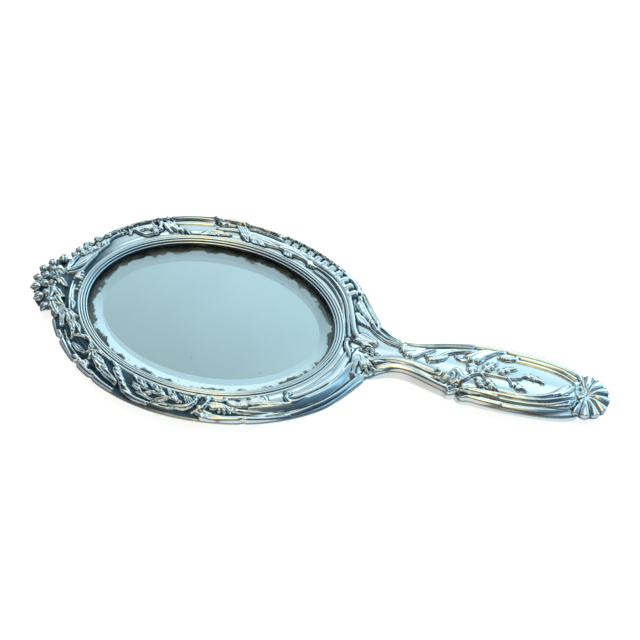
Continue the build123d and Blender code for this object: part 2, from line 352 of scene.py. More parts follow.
# ---------------------------------------------------------------- ornaments of the front
def crest_end(r):
    """Leaves and ribbons between the flower crest and the bezel."""
    r.stroke("flute", 3.0, 1.7, [(-134.5, 7.5), (-130, 9.6), (-125, 14), (-121.5, 20), (-116.5, 28)],
             taper=(1, 1, 0.6))
    r.reed(0.8, 1.9, [(-131, 4.4), (-127, 5.4), (-122.6, 8.4), (-120.6, 13.6), (-118, 20)])
    r.fingers((-124.6, 2.6), [(-121.4, 7.4), (-120.8, 5.6), (-120.9, 3.8)], 0.85, 1.6)
    for x, y in [(-123.5, 3.5), (-120.7, 1.2), (-120.6, -1.0), (-120.9, -3.4)]:
        r.bead(x, y, 0.95, 1.5)
    r.reed(0.7, 1.3, [(-124.2, 1), (-123.8, -3), (-123, -7), (-121.2, -13), (-118, -20)])
    r.reed(0.7, 1.2, [(-122.6, -1), (-122.2, -5), (-121, -9), (-119, -14.5)])
    r.leaf(1.2, 1.8, [(-127, -14), (-125.6, -17), (-125.8, -20.5)])
    r.leaf(1.1, 1.6, [(-121.5, -10), (-119.6, -12), (-118.6, -15.5)])


def upper_left(r):
    """Buds on the outline, a smooth rim and two acanthus scrolls above the bezel."""
    r.reed(2.0, 1.2, [(-118, 34.5), (-111, 42), (-104, 47.4), (-97.5, 51)], taper=(0.6, 1, 0.8))
    for x, y in [(-126.3, 22.5), (-123.6, 25.8), (-121.6, 22.8), (-120.2, 29.2), (-117.6, 27.2),
                 (-117.2, 32.4)]:
        r.bead(x, y, 1.7, 2.3, 1.15, 40)
    r.leaf(1.5, 1.9, [(-124.5, 18), (-122, 21.5), (-119, 24)])
    r.acanthus([(-119, 27.4), (-115.5, 32.6), (-110.5, 36.8)], 2.8, 1.7)
    r.fingers((-116, 37.5), [(-112.5, 35.6), (-110.4, 35.8), (-108.8, 37.4)], 0.8, 1.8)
    r.sunk(1.5, 1.9, [(-108, 44.5), (-107.2, 41), (-106.3, 36.8)])
    r.acanthus([(-106, 40), (-102, 43.8), (-97, 44.6), (-93.8, 42.2)], 3.9, 2.0)
    r.scroll([(-105, 40), (-101, 38.8), (-97, 39.2), (-94, 41.4)], 0.9, 1.9)
    r.scroll([(-105.5, 43), (-102, 46.5), (-98, 46.8), (-95.4, 44.6)], 0.9, 1.9)
    r.fingers((-107, 42), [(-104, 42.3), (-103.6, 40.4), (-104.6, 44)], 0.7, 1.8)
    r.scroll([(-98.5, 51.5), (-95.5, 50.5), (-93.4, 47.5), (-92.6, 44.2)], 1.2, 2.2)
    r.reed(0.7, 1.6, [(-93.6, 49.6), (-90.5, 46.8), (-86.6, 43.6)])
    r.reed(0.6, 1.3, [(-91.6, 49), (-89, 46.4), (-85.6, 44)])
    for x, y in [(-92.2, 53.4), (-88.6, 54.3), (-90.4, 50.4), (-94.2, 51.6), (-87.6, 51.7)]:
        r.bead(x, y, 1.25, 2.0)
    r.bead(-91, 52.3, 0.9, 2.3)
    r.acanthus([(-91, 48), (-87.5, 48.2), (-83.5, 45.8)], 2.6, 1.8)
    r.fingers((-84.5, 47.2), [(-81, 45.6), (-79, 46.4), (-77.6, 45.4)], 0.8, 1.7)
    for height, offset in [(1.3, 0.0), (1.1, -2.5), (0.9, -4.6)]:
        r.reed(0.95, height, [(-88, 54.2 + offset), (-82, 56.2 + offset), (-75, 58 + offset),
                                        (-67, 59.1 + offset)], taper=(0.8, 1, 0.9))
    r.reed(0.8, 1.4, [(-76, 45.6), (-71.5, 46.6), (-67.5, 49.8), (-61, 51)])


def top(r):
    """Curled leaves that hang from the rim over a broad smooth moulding."""
    r.stroke("band", 1.5, 1.2, [(-64, 52.4), (-55, 53.6), (-45, 53), (-30, 50.6), (-18, 47.6)],
             taper=(0.4, 1, 0.8))
    r.scroll([(-50, 59.2), (-57, 58.6), (-62.5, 56), (-66.4, 58.8)], 1.7, 2.2, head=1.2)
    r.acanthus([(-66, 57.8), (-60, 57), (-53.5, 56.8)], 2.7, 1.9)
    r.fingers((-54.5, 58), [(-50.8, 59.6), (-49.6, 58), (-50.3, 56.4)], 0.85, 2.0)
    for shift in (-1.9, -0.5, 0.9, 2.2):
        r.leaf(0.95, 2.0, [(-53.4 + shift, 57), (-50.6 + shift, 54), (-48.6 + shift, 50.2)],
                 taper=(0.7, 1, 0.5))
    r.leaf(1.3, 2.0, [(-50.6, 51), (-48.4, 49.6), (-46.6, 47.4)])
    r.acanthus([(-49.5, 57.6), (-45, 57.6), (-38.4, 55.8)], 2.5, 1.9)
    r.acanthus([(-38.5, 57), (-34.5, 55.6), (-30, 53.2)], 2.2, 1.7)
    r.fingers((-70, 47.4), [(-66.6, 48.6), (-65, 47.4), (-63, 48.2)], 0.75, 1.7)
    r.leaf(1.3, 1.8, [(-73, 46), (-68, 47.4), (-62.5, 49.4), (-57, 50)])
    r.fingers((-47, 50), [(-44, 47.8), (-42, 47.3), (-40, 47.6), (-38.2, 47.2)], 0.8, 1.8)
    r.leaf(1.5, 1.7, [(-48, 51), (-42, 50.4), (-35.5, 49.2), (-30, 48.2)])
    r.fingers((-29.5, 48), [(-26.6, 44.8), (-25, 44.3), (-23.4, 44.2)], 0.85, 1.9)
    r.leaf(1.6, 1.8, [(-30, 48.5), (-25, 47.6), (-19, 45.6), (-13.5, 43.4)])
    r.fingers((-15.8, 44.4), [(-13.6, 41.4), (-12, 41), (-10.4, 40.6)], 0.75, 1.8)


GADROONS = [(-27, 53.6), (-22.6, 52.4), (-18.2, 50.9), (-13.8, 49.1), (-9.5, 47.1), (-5.3, 44.8),
            (-1.4, 42.3), (2.3, 39.4), (5.8, 36.3), (9.0, 33.0), (12.0, 29.4)]


def upper_right(r):
    """Row of upright blocks in a channel, with parallel mouldings inside it."""
    for x, y in GADROONS:
        lean = math.atan2(y / HEAD_Y**2, (x - HEAD_X) / SHOULDER_A**2)
        out = np.array([math.cos(lean), math.sin(lean)])
        r.reed(1.85, 2.1, [np.array((x, y)) - 1.6 * out, np.array((x, y)) + 1.3 * out],
                 taper=(0.9, 1.0, 1), rise=(0.9, 1.0, 1.0))
    r.stroke("band", 1.35, 1.5, [(-34, 51), (-20, 47.9), (-10, 44.2), (0, 38.8), (6, 33.4), (11, 26),
                                 (15, 16), (18.4, 7), (24, 0.6)], taper=(0.8, 1, 0.8))
    r.reed(0.75, 1.2, [(-16, 43.4), (-8, 40.6), (0, 36), (6, 30), (10.5, 22.5), (13.6, 13), (16, 4.5)],
             taper=(0.6, 1, 0.8))
    r.reed(0.6, 0.9, [(-10, 38.8), (-2, 34.2), (4, 28.4), (8.6, 21.4), (11.6, 13), (13.6, 5)],
             taper=(0.5, 1, 0.8))
    r.bead(17.1, 27.4, 1.9, 2.3, 1.35, -55)
    r.acanthus([(16.5, 26.5), (20, 21), (26, 14.6)], 4.0, 1.9, sides=(1, -1), lean=35)
    r.sunk(1.7, 2.0, [(17, 18), (19.5, 15.2), (24.5, 12)])
    r.scroll([(42, 4.6), (34, 7.4), (28.6, 11), (25, 14.8)], 1.2, 1.9)
    r.reed(0.7, 1.5, [(44, 2.6), (36, 4.4), (29, 8.2), (24, 12.2)])
    r.acanthus([(30, 12.4), (34, 9.8), (40, 7.2)], 2.4, 1.7, lean=40)


def lower_left(r):
    """Bands that overlap like scales along the outline, with leaf fingers inside them."""
    r.curl(2.4, 1.9, [(-131, -18), (-127.5, -26), (-122.4, -32.6)], taper=(0.6, 1, 0.5))
    r.curl(2.4, 1.9, [(-121.5, -30), (-116.5, -37.5), (-109.8, -43.8)], taper=(0.7, 1, 0.5))
    r.reed(0.7, 1.6, [(-128.5, -19), (-124.8, -26), (-120.8, -31.4)])
    r.reed(0.7, 1.5, [(-118.5, -28), (-113, -35.6), (-105.5, -42)])
    r.curl(2.2, 1.8, [(-109, -41.6), (-103.5, -46.6), (-97, -51)], taper=(0.7, 1, 0.6))
    r.fingers((-125, -16.5), [(-115.4, -19.6), (-115.8, -21.6), (-117.4, -23.2)], 0.9, 2.0, bend=0.1)
    r.acanthus([(-126, -13.5), (-123, -19), (-121, -25.5)], 2.6, 1.8)
    r.leaf(1.4, 2.0, [(-119, -22), (-115, -26), (-113.4, -31.8)])
    r.leaf(1.1, 1.8, [(-116.2, -22.4), (-112.6, -24.8), (-110.4, -28.4)])
    r.scroll([(-113, -30.4), (-108, -29.8), (-104.4, -31), (-102.6, -35)], 1.1, 2.2)
    r.leaf(1.2, 1.7, [(-112, -34.5), (-108.5, -36.6), (-104.8, -38.4)])
    r.bead(-103, -43.4, 1.8, 1.9, 1.5, -35)
    r.reed(1.0, 2.1, [(-103.5, -38), (-100, -36.6), (-95, -37), (-90, -39.6), (-86, -43.4), (-83.8, -47)],
             taper=(0.6, 1, 1))
    r.fingers((-103, -37), [(-101.5, -40.6), (-99.4, -40.4), (-97.2, -40.2)], 0.75, 1.9)
    r.acanthus([(-98.5, -39), (-95, -43.2), (-90.5, -47.4), (-85.5, -50.6)], 3.4, 2.1, lean=42)
    r.acanthus([(-101, -47.4), (-94, -51.6), (-86, -54.6)], 2.6, 1.7, lean=60)


def bottom(r):
    """Laurel sprig of outlined leaves inside a reeded border that ends in scrolls."""
    r.reed(1.5, 2.2, [(-87, -44), (-83.4, -48.4), (-80.4, -52.6), (-75, -56), (-68, -57.6)],
           taper=(1, 1.1, .6))
    r.bead(-84.2, -47.4, 1.7, 2.4)
    r.reed(0.75, 1.6, [(-76, -55.2), (-68, -57), (-60, -57.8), (-51, -56.4)])
    r.reed(0.6, 1.2, [(-74, -53), (-66, -55.2), (-58, -56), (-50, -54.6)])
    r.scroll([(-57, -56.6), (-50, -55.6), (-45.8, -52.4), (-45.4, -49.2)], 1.3, 2.3)
    r.scroll([(-46, -57.2), (-42, -54.4), (-40, -51.4), (-40.4, -48.4)], 1.2, 2.2)
    r.sunk(1.75, 2.1, [(-77.4, -44.8), (-74, -46.8), (-70.2, -49.8)], taper=(0.35, 1, 0.4))
    r.sunk(1.75, 2.1, [(-70.8, -45.6), (-66, -48.2), (-60.6, -52)], taper=(0.3, 1, 0.4))
    r.sunk(1.6, 2.1, [(-60.4, -47.2), (-57.6, -50), (-53.6, -53.8)], taper=(0.35, 1, 0.4))
    r.sunk(1.6, 2.0, [(-67, -57.2), (-63, -55.6), (-58.4, -52.8)], taper=(0.35, 1, 0.4))
    r.leaf(1.1, 1.8, [(-71, -53.6), (-68.4, -52.8), (-65.6, -51.2)])
    r.leaf(1.1, 1.8, [(-76.4, -50.2), (-73.6, -51.4), (-71.4, -53.4)])
    r.reed(0.45, 1.7, [(-77, -48.8), (-70, -51.2), (-62, -52.4), (-52, -53.4)], taper=(0.7, 1, 1))
    for shift in (0, 1.2, 2.4, 3.6):
        r.reed(0.4, 1.2, [(-54 + shift, -49.2), (-51.6 + shift, -50.6), (-49.6 + shift, -53)])


def lower_right(r):
    """Small leaves, a long acanthus band and the two broad mouldings that sweep to the neck."""
    r.acanthus([(-38, -48.6), (-35, -47.8), (-31.6, -46.8)], 1.9, 1.8)
    r.bead(-33, -46.4, 0.9, 2.1)
    r.acanthus([(-31.5, -47.6), (-27, -48.4), (-21.6, -47.6)], 2.2, 1.9)
    r.acanthus([(-39, -52.2), (-34, -51.4), (-27, -51.4)], 2.4, 2.0)
    r.fingers((-35.6, -51), [(-33.6, -53.6), (-31, -53.6), (-28.6, -52.8)], 0.85, 2.0)
    r.curl(1.5, 2.0, [(-27, -51.4), (-16, -50.6), (-4, -46.6)])
    r.curl(2.3, 2.7, [(-41, -56.0), (-32, -57), (-22, -55.6), (-12, -52.6), (-1, -47.6)],
           taper=(0.5, 1, 0.4),
             rise=(0.8, 1, 0.3))
    r.fingers((-33, -57.4), [(-43.4, -54.4), (-43.6, -56.4), (-41, -58.2)], 1.1, 2.0)
    r.fingers((-13, -45.4), [(-20.8, -43.6), (-18, -42), (-14.8, -41.2)], 1.2, 2.0, bend=-0.12)
    r.leaf(1.4, 1.9, [(-25, -46.6), (-18, -45.4), (-10, -43.4), (-2, -41.4)])
    r.scroll([(4, -36.4), (-1, -40.2), (-4.6, -39.4), (-4.8, -36.2)], 1.2, 2.2)
    r.stroke("flute", 2.3, 1.5, [(18.6, -4), (14.6, -18), (9, -26.6), (2, -33.6), (-5, -38.2)],
             taper=(0.6, 1, 0.4),
             rise=(0.6, 1, 0.5))
    r.curl(2.5, 2.5, [(-20, -49.2), (-2, -42.6), (8, -34.8), (15.4, -25.6), (20.6, -13)],
           taper=(0.4, 1, 0.5),
             rise=(0.6, 1, 0.6))
    r.reed(0.9, 1.4, [(25.4, -15.4), (18.6, -27.6), (8.4, -38.6), (-3, -46.8), (-16, -52)],
           taper=(0.8, 1, 0.4),
             rise=(0.6, 1, 0.1))


def neck(r):
    """Leaf rosette where the handle springs from the bezel."""
    r.scroll([(19, -8.5), (17.6, -5), (15.8, -1.6), (15.6, 1.4)], 1.3, 2.3, head=1.2)
    r.acanthus([(20.6, 5.6), (24, 4.6), (29.2, 3.4)], 2.9, 2.1)
    r.bead(29.4, 2.2, 1.2, 2.3)
    r.leaf(1.3, 2.0, [(19.5, 2.4), (23.6, 1.8), (28.4, 0.2)])
    for x, y in [(23, -2.4), (26.4, -1.2), (28.4, -1.4), (26.6, -4.2), (29, -3.8), (31.6, -3.2)]:
        r.bead(x, y, 1.05, 2.1)
    r.leaf(1.0, 1.9, [(21.8, -3), (21, -7), (20.8, -12)])
    r.leaf(1.15, 2.1, [(22.6, -4.6), (22.4, -10.5), (22.4, -17.6)])
    r.bead(22.4, -17, 1.35, 2.0)
    r.leaf(1.1, 1.9, [(22.4, -5), (24, -8.5), (26.2, -12.4)])
    r.leaf(1.25, 2.1, [(23.6, -5), (26, -9.4), (29.2, -14)])
    r.leaf(1.1, 2.0, [(25, -5.4), (28.4, -6.8), (32.6, -8.2)])
    r.leaf(1.1, 2.0, [(25.6, -7.6), (29.4, -10), (33.8, -12.6)])
    r.acanthus([(32, -13), (36, -11.8), (41, -9.6)], 2.0, 1.6)


def handle_upper(r):
    """Fans and curled leaves along the upper border of the handle."""
    r.fingers((53.5, 6.2), [(43.0, 4.4), (43.4, 1.6), (45.8, -0.4), (48.6, -0.8)], 1.5, 1.9, bend=0.08)
    r.reed(1.3, 1.7, [(58, 5.8), (53.4, 3.2), (49.4, -0.6)], taper=(0.5, 1, 0.9))
    r.reed(0.9, 1.5, [(44, 6.4), (54, 8.2), (64, 11), (76, 13)], taper=(0.6, 1, 0.8))
    r.reed(1.0, 1.7, [(78, 10.4), (71, 8.6), (64.6, 5.6), (60.8, 1.4)], taper=(0.8, 1, 1))
    r.fingers((65, 6), [(55.6, 1.0), (56.8, -1.0), (59.0, -0.2)], 1.2, 2.1)
    r.curl(1.2, 1.8, [(77, 6), (74, 4.0), (70.4, 3.8), (68.4, 5.6)])
    r.fingers((89, 13.4), [(74.9, 5.6), (77.4, 4.6), (79.9, 5.4)], 1.75, 2.3, bend=-0.1)
    r.fingers((92, 13.8), [(81.2, 7.2), (83.4, 9.2)], 1.3, 2.0, bend=-0.1)
    r.fingers((99, 13.4), [(90.2, 9.6), (92.6, 9.3), (95.0, 9.8)], 1.15, 1.9)
    r.reed(0.8, 1.3, [(96, 10.1), (106, 9.9), (116, 8.6), (124, 6.0), (129, 3.2)], taper=(0.9, 1, 0.7))
    r.reed(1.1, 1.4, [(98, 12.6), (108, 12.3), (118, 10.8), (127.4, 7.4)], taper=(0.9, 1, 0.7))


def handle_lower(r):
    """Scrolling borders below, and the petal scrolls they grow from."""
    r.reed(0.9, 1.7, [(31, -6.6), (40, -4.6), (49, -5.2), (57, -7.6), (62, -7.8), (63.8, -6), (62, -5.2)],
             taper=(0.7, 0.9, 1.5))
    r.curl(2.6, 2.5, [(33, -8.4), (42, -7.9), (51, -9.0), (59, -11.6), (66.5, -13.6)],
           taper=(0.6, 1, 0.7))
    r.reed(1.5, 2.1, [(67.4, -13), (71.4, -9.8), (72.6, -6.0), (70.4, -3.2)], taper=(0.6, 1, 1.1))
    r.reed(0.8, 1.7, [(65.6, -12), (68.8, -9.4), (69.6, -6.6), (68.4, -5)], taper=(0.6, 1, 1))
    r.scroll([(92, -12.4), (80, -12.2), (72.4, -12.6), (69.0, -15.2)], 1.1, 1.9, head=1.4)
    r.scroll([(94, -15.6), (84, -15.3), (77.6, -15.6), (74.8, -17.2)], 1.5, 2.0, head=1.2)
    r.reed(0.7, 1.1, [(84, -9.2), (100, -9.2), (110, -8), (116, -5.4), (120.6, -1)], taper=(0.5, 1, 1))
    r.reed(0.8, 1.3, [(80, -11), (100, -11), (112, -9.6), (120, -6.8), (127, -3.4)], taper=(0.5, 1, 0.9))
    r.reed(0.9, 1.4, [(84, -13), (100, -13.1), (112, -11.8), (120, -9.4), (126, -6.2)],
           taper=(0.9, 1, 0.7))
    r.curl(1.8, 2.2, [(84, -15.2), (98, -15.9), (110, -14.6), (119, -12.1), (125.6, -9.2)],
           taper=(0.9, 1, 0.7))
    r.leaf(1.3, 1.9, [(117.6, -5.4), (120.8, -2.6), (123.4, 1.8)], taper=(0.5, 1, 0.8))
    r.reed(1.0, 1.9, [(121.4, -4.6), (124.0, -1.6), (126.0, 1.6)], taper=(0.5, 1, 1))


def oak_leaf(r, points, width):
    """Leaf with round lobes on both sides of a narrow stalk, and one at its tip."""
    path = spline(points)
    r.reed(width * 0.34, 1.6, points, taper=(0.5, 1.0, 1.0))
    for share, reach in ((0.42, 0.42), (0.74, 0.46)):
        i = int(share * (len(path) - 2))
        along = path[i + 1] - path[i]
        along /= np.linalg.norm(along)
        heading = math.degrees(math.atan2(along[1], along[0]))
        for side in (1, -1):
            middle = path[i] + (side * np.array([-along[1], along[0]]) + 0.5 * along) * width * reach
            r.bead(*middle, width * 0.33, 1.9, 1.35, heading + 38 * side)
    r.bead(*path[-1], width * 0.4, 2.0, 1.2, heading)


def handle_sprig(r):
    """Oak sprig that lies on the smooth panel of the handle."""
    r.reed(0.75, 1.7, [(69.6, -10.4), (74.4, -7), (79.4, -3), (86, -1.4), (95, -1.4), (101, 0)],
             taper=(1, 1, 0.7))
    r.leaf(1.5, 2.0, [(76.4, -5.8), (73.6, -7.6), (71, -10)])
    oak_leaf(r, [(78.4, -4), (77.4, -0.6), (77.4, 3.4)], 3.2)
    oak_leaf(r, [(82, -1.6), (84.6, 2), (88, 5.4)], 2.9)
    oak_leaf(r, [(88.6, -1), (92, 2.2), (97.6, 4.8)], 2.7)
    oak_leaf(r, [(100, 0), (105, 2.6), (111.6, 0.6)], 2.7)
    oak_leaf(r, [(79.4, -5.2), (82, -7.4), (84.4, -9.6)], 2.2)
    oak_leaf(r, [(83, -3), (86.4, -6), (90, -9)], 2.6)
    oak_leaf(r, [(95, -1.6), (98.6, -4.4), (103.4, -6)], 2.6)


def butt_end(r):
    """Small scrolls that hold the scallop."""
    r.curl(1.5, 1.9, [(130, 6.6), (127.4, 4.4), (127.6, 1.6)])
    r.curl(1.4, 2.0, [(125, -9.8), (127.4, -6.6), (129.4, -4.2)])
    r.reed(1.1, 2.0, [(128.4, -11), (129.8, -7.6), (131, -4.6)])


REGIONS = (crest_end, upper_left, top, upper_right, lower_left, bottom, lower_right, neck,
           handle_upper, handle_lower, handle_sprig, butt_end)


# ---------------------------------------------------------------- front of the frame
OUTER_COUNTS = (430, 310, 175, 180, 140, 60)
NECK_SPLIT = 0.42               # share of the neck curve that faces the bezel, not the axis
RIM_ROWS, FIELD_ROWS = 12, 60
RELIEF_SCALE = 0.85


def inner_boundary():
    """Points that the outline's points are joined to: round the bezel, then along the axis."""
    a, b = LIP_A + BEZEL_OUTER, LIP_B + BEZEL_OUTER
    turn = math.acos((SHOULDER_X - HEAD_X) / SHOULDER_A)
    by_bezel = round(OUTER_COUNTS[2] * NECK_SPLIT)
    on_axis = sum(OUTER_COUNTS[2:]) - by_bezel
    x = np.concatenate([
        np.linspace(GLASS_X + a, NECK[0], OUTER_COUNTS[2] - by_bezel, endpoint=False),
        np.linspace(NECK[0], END_X - RIM_RADIUS - 1.5, on_axis - OUTER_COUNTS[2] + by_bezel + 1)])
    return np.concatenate([
        ellipse_arc(GLASS_X, a, b, math.pi, math.pi / 2, OUTER_COUNTS[0]),
        ellipse_arc(GLASS_X, a, b, math.pi / 2, turn, OUTER_COUNTS[1]),
        ellipse_arc(GLASS_X, a, b, turn, 0, by_bezel),
        np.stack([x, np.zeros_like(x)], 1)])


def blur(values, times):
    """Repeated small blur along both directions of a grid."""
    for _ in range(times):
        padded = np.pad(values, 1, mode="edge")
        values = (padded[:-2, 1:-1] + padded[2:, 1:-1] + padded[1:-1, :-2] + padded[1:-1, 2:]
                  + 2 * values) / 6
    return values


GROUND_Z = 11.4                 # sunk ground between the ornaments
COVE_DEPTH = 0.5                # hollow round the bezel
RIM_HEIGHT = 0.9                # band along the outline
NEAR_RIM_LOSS = 0.5             # the band is that much lower on the near side
GROOVE_DEPTH = 0.35             # line inside the band
NEAR_SWELL = 0.8                # the near side rises inwards
NEAR_FALL = 1.45                # and falls to the outline
RIPPLE, RIPPLE_DEPTH = 1.7, 0.13        # lines on the lower left: spacing, depth
PANEL_RISE, PANEL_DOME = 0.5, 0.8       # raised, domed panel of the handle
PANEL_WIDTHS = ([45, 68, 92, 108, 128], [8.8, 13.5, 17.4, 16.6, 12.8])  # x and half-width


def ground_level(x, y, edge):
    """Level of the ground between the ornaments, edge millimetres inside the outline."""
    rho = np.hypot((x - GLASS_X) / (LIP_A + BEZEL_OUTER), y / (LIP_B + BEZEL_OUTER))
    from_bezel = np.hypot(x - GLASS_X, y) * (1 - 1 / np.maximum(rho, 1e-3))
    cove = COVE_DEPTH * smoothstep(3.0, 0.9, from_bezel)
    near = smoothstep(1, -8, y)
    rim = (RIM_HEIGHT - NEAR_RIM_LOSS * near) * smoothstep(3.5, 2.5, edge)
    rim = rim - GROOVE_DEPTH * np.exp(-((edge - 3.7) / 0.35)**2)
    rim = rim + near * (NEAR_SWELL * smoothstep(2.5, 10, edge) - NEAR_FALL * smoothstep(7.5, 1.5, edge))
    width = np.interp(x, *PANEL_WIDTHS)
    panel = PANEL_RISE + PANEL_DOME * np.clip(1 - (y / width)**2, 0, 1)
    panel = panel * smoothstep(24, 44, x) * smoothstep(133, 120, x)
    ripple = RIPPLE_DEPTH * np.cos(2 * math.pi * edge / RIPPLE)
    ripple = ripple * smoothstep(-4, -14, y) * smoothstep(-10, -30, x)
    return GROUND_Z - cove + rim + (panel + ripple) * smoothstep(2.4, 5.0, edge)


def front_tarnish_and_painted_shade(x, y, flat, height):
    """Tarnish in the hollows and, faintly, on all bare ground; on the bare ground of the crest's end and
    the lower left a painted dark reflection.
    """
    narrow = np.clip(blur(flat, 7) - flat, 0, 1) / 0.16
    wide = np.clip(blur(flat, 60) - flat - 0.12, 0, 1) / 0.9
    bare = smoothstep(0.55, 0.1, blur(height, 1))
    lower_left_ground = smoothstep(-6, -30, y) * smoothstep(-14, -36, x)
    # painted dark reflection on the bare ground of the lower left and of the crest's end
    painted_dark_reflection = np.maximum(lower_left_ground, smoothstep(-104, -122, x))
    by_handle = smoothstep(14, 34, x)
    dark = (narrow + wide) * (1 - 0.55 * by_handle) + bare * (0.12 + 0.8 * painted_dark_reflection)
    return np.clip(dark, 0, 1)


def front_half(side):
    """Grid of points and darkening of one half of the front: tarnish and painted shade."""
    outer, inward = outline_with_notches(OUTER_COUNTS, side)
    inner = inner_boundary() * np.array([1, side])
    reach = inner - outer
    facing = np.sum(reach * inward, 1)
    psi = np.linspace(0, math.pi / 2, RIM_ROWS)
    rim_share = RIM_RADIUS * (1 - np.cos(psi))[None, :] / facing[:, None]
    start = RIM_RADIUS / facing
    field_share = start[:, None] + (1 - start)[:, None] * np.linspace(0, 1, FIELD_ROWS + 1)[None, 1:]
    share = np.concatenate([rim_share, field_share], 1)
    plan = outer[:, None] + reach[:, None] * share[:, :, None]
    x, y = plan[:, :, 0], plan[:, :, 1]
    edge = share * facing[:, None]
    relief = Relief(x, y)
    for region in REGIONS:
        region(relief)
    relief.height = blur(relief.height, 3)
    raised = np.concatenate([np.sin(psi), np.ones(FIELD_ROWS)])[None, :]
    ground = ground_level(x, y, edge)
    rolled = SEAM_Z + (ground_level(x, y, np.full_like(x, RIM_RADIUS)) - SEAM_Z) * raised
    top_z = np.where(edge < RIM_RADIUS + 1e-6, rolled, ground)
    raised_by = RELIEF_SCALE * relief.height
    z = top_z + raised_by * smoothstep(0.35, 0.95, raised)
    flat = ground + raised_by
    patina_and_painted_shade = front_tarnish_and_painted_shade(x, y, flat, relief.height) * smoothstep(0.3, 0.9, raised)
    return np.stack([x, y, z], 2), patina_and_painted_shade


def build_sheet(name, half, material, node, flipped):
    """Stamped sheet made of two halves that meet on the axis; flipped is the side with turned faces."""
    sheet = Grids()
    for side in (1, -1):
        sheet.add(*half(side), flip=side == flipped)
    sheet.build(name, material, node, seam=True)


# ---------------------------------------------------------------- bezel
BEZEL_AROUND = 1000
# section of the bezel: distance outwards from the lip, level; four reeds stand between foot and skirt
BEZEL_FOOT = [(0.45, 7.9), (0.05, 8.6), (0.0, 9.6), (0.0, 10.2)]
BEZEL_SKIRT = [(5.0, 11.0), (5.0, 10.2)]
REEDS = [(0.02, 1.05, 10.95), (1.15, 2.25, 11.65), (2.35, 3.45, 12.05), (3.55, 4.98, 11.75)]
REED_RISE = 0.55
GROOVE_TARNISH = 0.28           # width of the dark line in each groove, as a share of a reed


def build_bezel(material):
    section = list(BEZEL_FOOT)
    # painted shade on the foot, the lip's inner wall down to the glass; tarnish in the grooves between
    # the reeds
    groove_tarnish_and_foot_shade = [0.9] * len(BEZEL_FOOT)
    for start, end, top_z in REEDS:
        for turn in np.linspace(0, math.pi, 13):
            offset = (start + end) / 2 - (end - start) / 2 * math.cos(turn)
            section.append((offset, top_z - REED_RISE + REED_RISE * math.sin(turn)))
            from_edge = min(turn, math.pi - turn) / math.pi
            groove_tarnish_and_foot_shade.append(float(smoothstep(GROOVE_TARNISH, 0.05, from_edge)))
    section = np.array(section + BEZEL_SKIRT)
    groove_tarnish_and_foot_shade = np.array(groove_tarnish_and_foot_shade + [1.0] * len(BEZEL_SKIRT))
    angle = full_turn(BEZEL_AROUND)[:, None]
    x = GLASS_X + (LIP_A + section[:, 0]) * np.cos(angle)
    y = (LIP_B + section[:, 0]) * np.sin(angle)
    z = section[:, 1] + 0 * angle
    ring = Grids()
    ring.add(np.stack([x, y, z], 2), groove_tarnish_and_foot_shade + 0 * angle, wrap_rows=True, flip=True)
    ring.build("bezel_reeds", material, "glass_bezel")


# ---------------------------------------------------------------- glass and silvering
GLASS_AROUND = 720
FIELD_Z, BEVEL_EDGE_Z, GLASS_REAR_Z = 9.0, 7.2, 5.62
FIELD_OFFSET, GLASS_OFFSET = -7.3, 2.6          # of the bevel's inner edge and the glass's, from the lip
SILVERING_Z = 5.56


def oval_ring(offset, z, count=GLASS_AROUND):
    angle = full_turn(count)
    return np.stack([GLASS_X + (LIP_A + offset) * np.cos(angle), (LIP_B + offset) * np.sin(angle),
                     np.full(count, z)], 1)


def build_glass(material):
    rings = [(GLASS_OFFSET - 0.3, GLASS_REAR_Z), (GLASS_OFFSET, GLASS_REAR_Z + 0.3),
             (GLASS_OFFSET, BEVEL_EDGE_Z), (GLASS_OFFSET - 0.15, BEVEL_EDGE_Z + 0.08),
             (FIELD_OFFSET + 0.12, FIELD_Z - 0.035), (FIELD_OFFSET, FIELD_Z)]
    vertices = np.concatenate([oval_ring(offset, z) for offset, z in rings])
    faces = grid_faces(len(rings), GLASS_AROUND, wrap_columns=True)
    faces.append(tuple(range(GLASS_AROUND))[::-1])
    faces.append(tuple(range((len(rings) - 1) * GLASS_AROUND, len(rings) * GLASS_AROUND)))
    obj = make_object("bevelled_plate", vertices, faces, material, smooth=False)
    return finish_piece(obj, ["mirror_glass"])


def build_silvering(material):
    """Silvered rear coat, as rings that carry their distance from the edge."""
    offsets = np.concatenate([np.linspace(GLASS_OFFSET, -14, 34), np.linspace(-16, -42.5, 12)])
    around = 360
    vertices = np.concatenate([oval_ring(offset, SILVERING_Z, around) for offset in offsets])
    depth = np.repeat(GLASS_OFFSET - offsets, around)
    faces = grid_faces(len(offsets), around, wrap_columns=True)
    faces.append(tuple(range((len(offsets) - 1) * around, len(offsets) * around)))
    obj = make_object("aged_silvering", vertices, faces, material, smooth=False,
                      attributes={"depth": depth})
    return finish_piece(obj, ["silvering"])


# ---------------------------------------------------------------- back
PAN_EDGE_Z, PAN_REACH = 8.8, 34.0
GRIP_X, GRIP_AXES = 82.0, (100.0, 18.8, 9.4)    # ellipsoid under the handle
GRIP_TURN = 1.6                                 # width over which the sheet turns down from the seam
BACK_ROWS = 44


def pan_level(x, y):
    """Level of the head's pan, from how far inside the outline a point lies."""
    low = np.zeros_like(x)
    high = np.full_like(x, PAN_REACH + 6)
    a = np.where(x < HEAD_X, CREST_A, SHOULDER_A)
    for _ in range(22):
        inset = (low + high) / 2
        inside = np.hypot((x - HEAD_X) / (a - inset), y / (HEAD_Y - inset)) < 1
        low = np.where(inside, inset, low)
        high = np.where(inside, high, inset)
    outside = np.hypot((x - HEAD_X) / a, y / HEAD_Y) >= 1
    level = PAN_EDGE_Z * np.clip(1 - low / PAN_REACH, 0, 1)**4
    return np.where(outside, SEAM_Z, level)


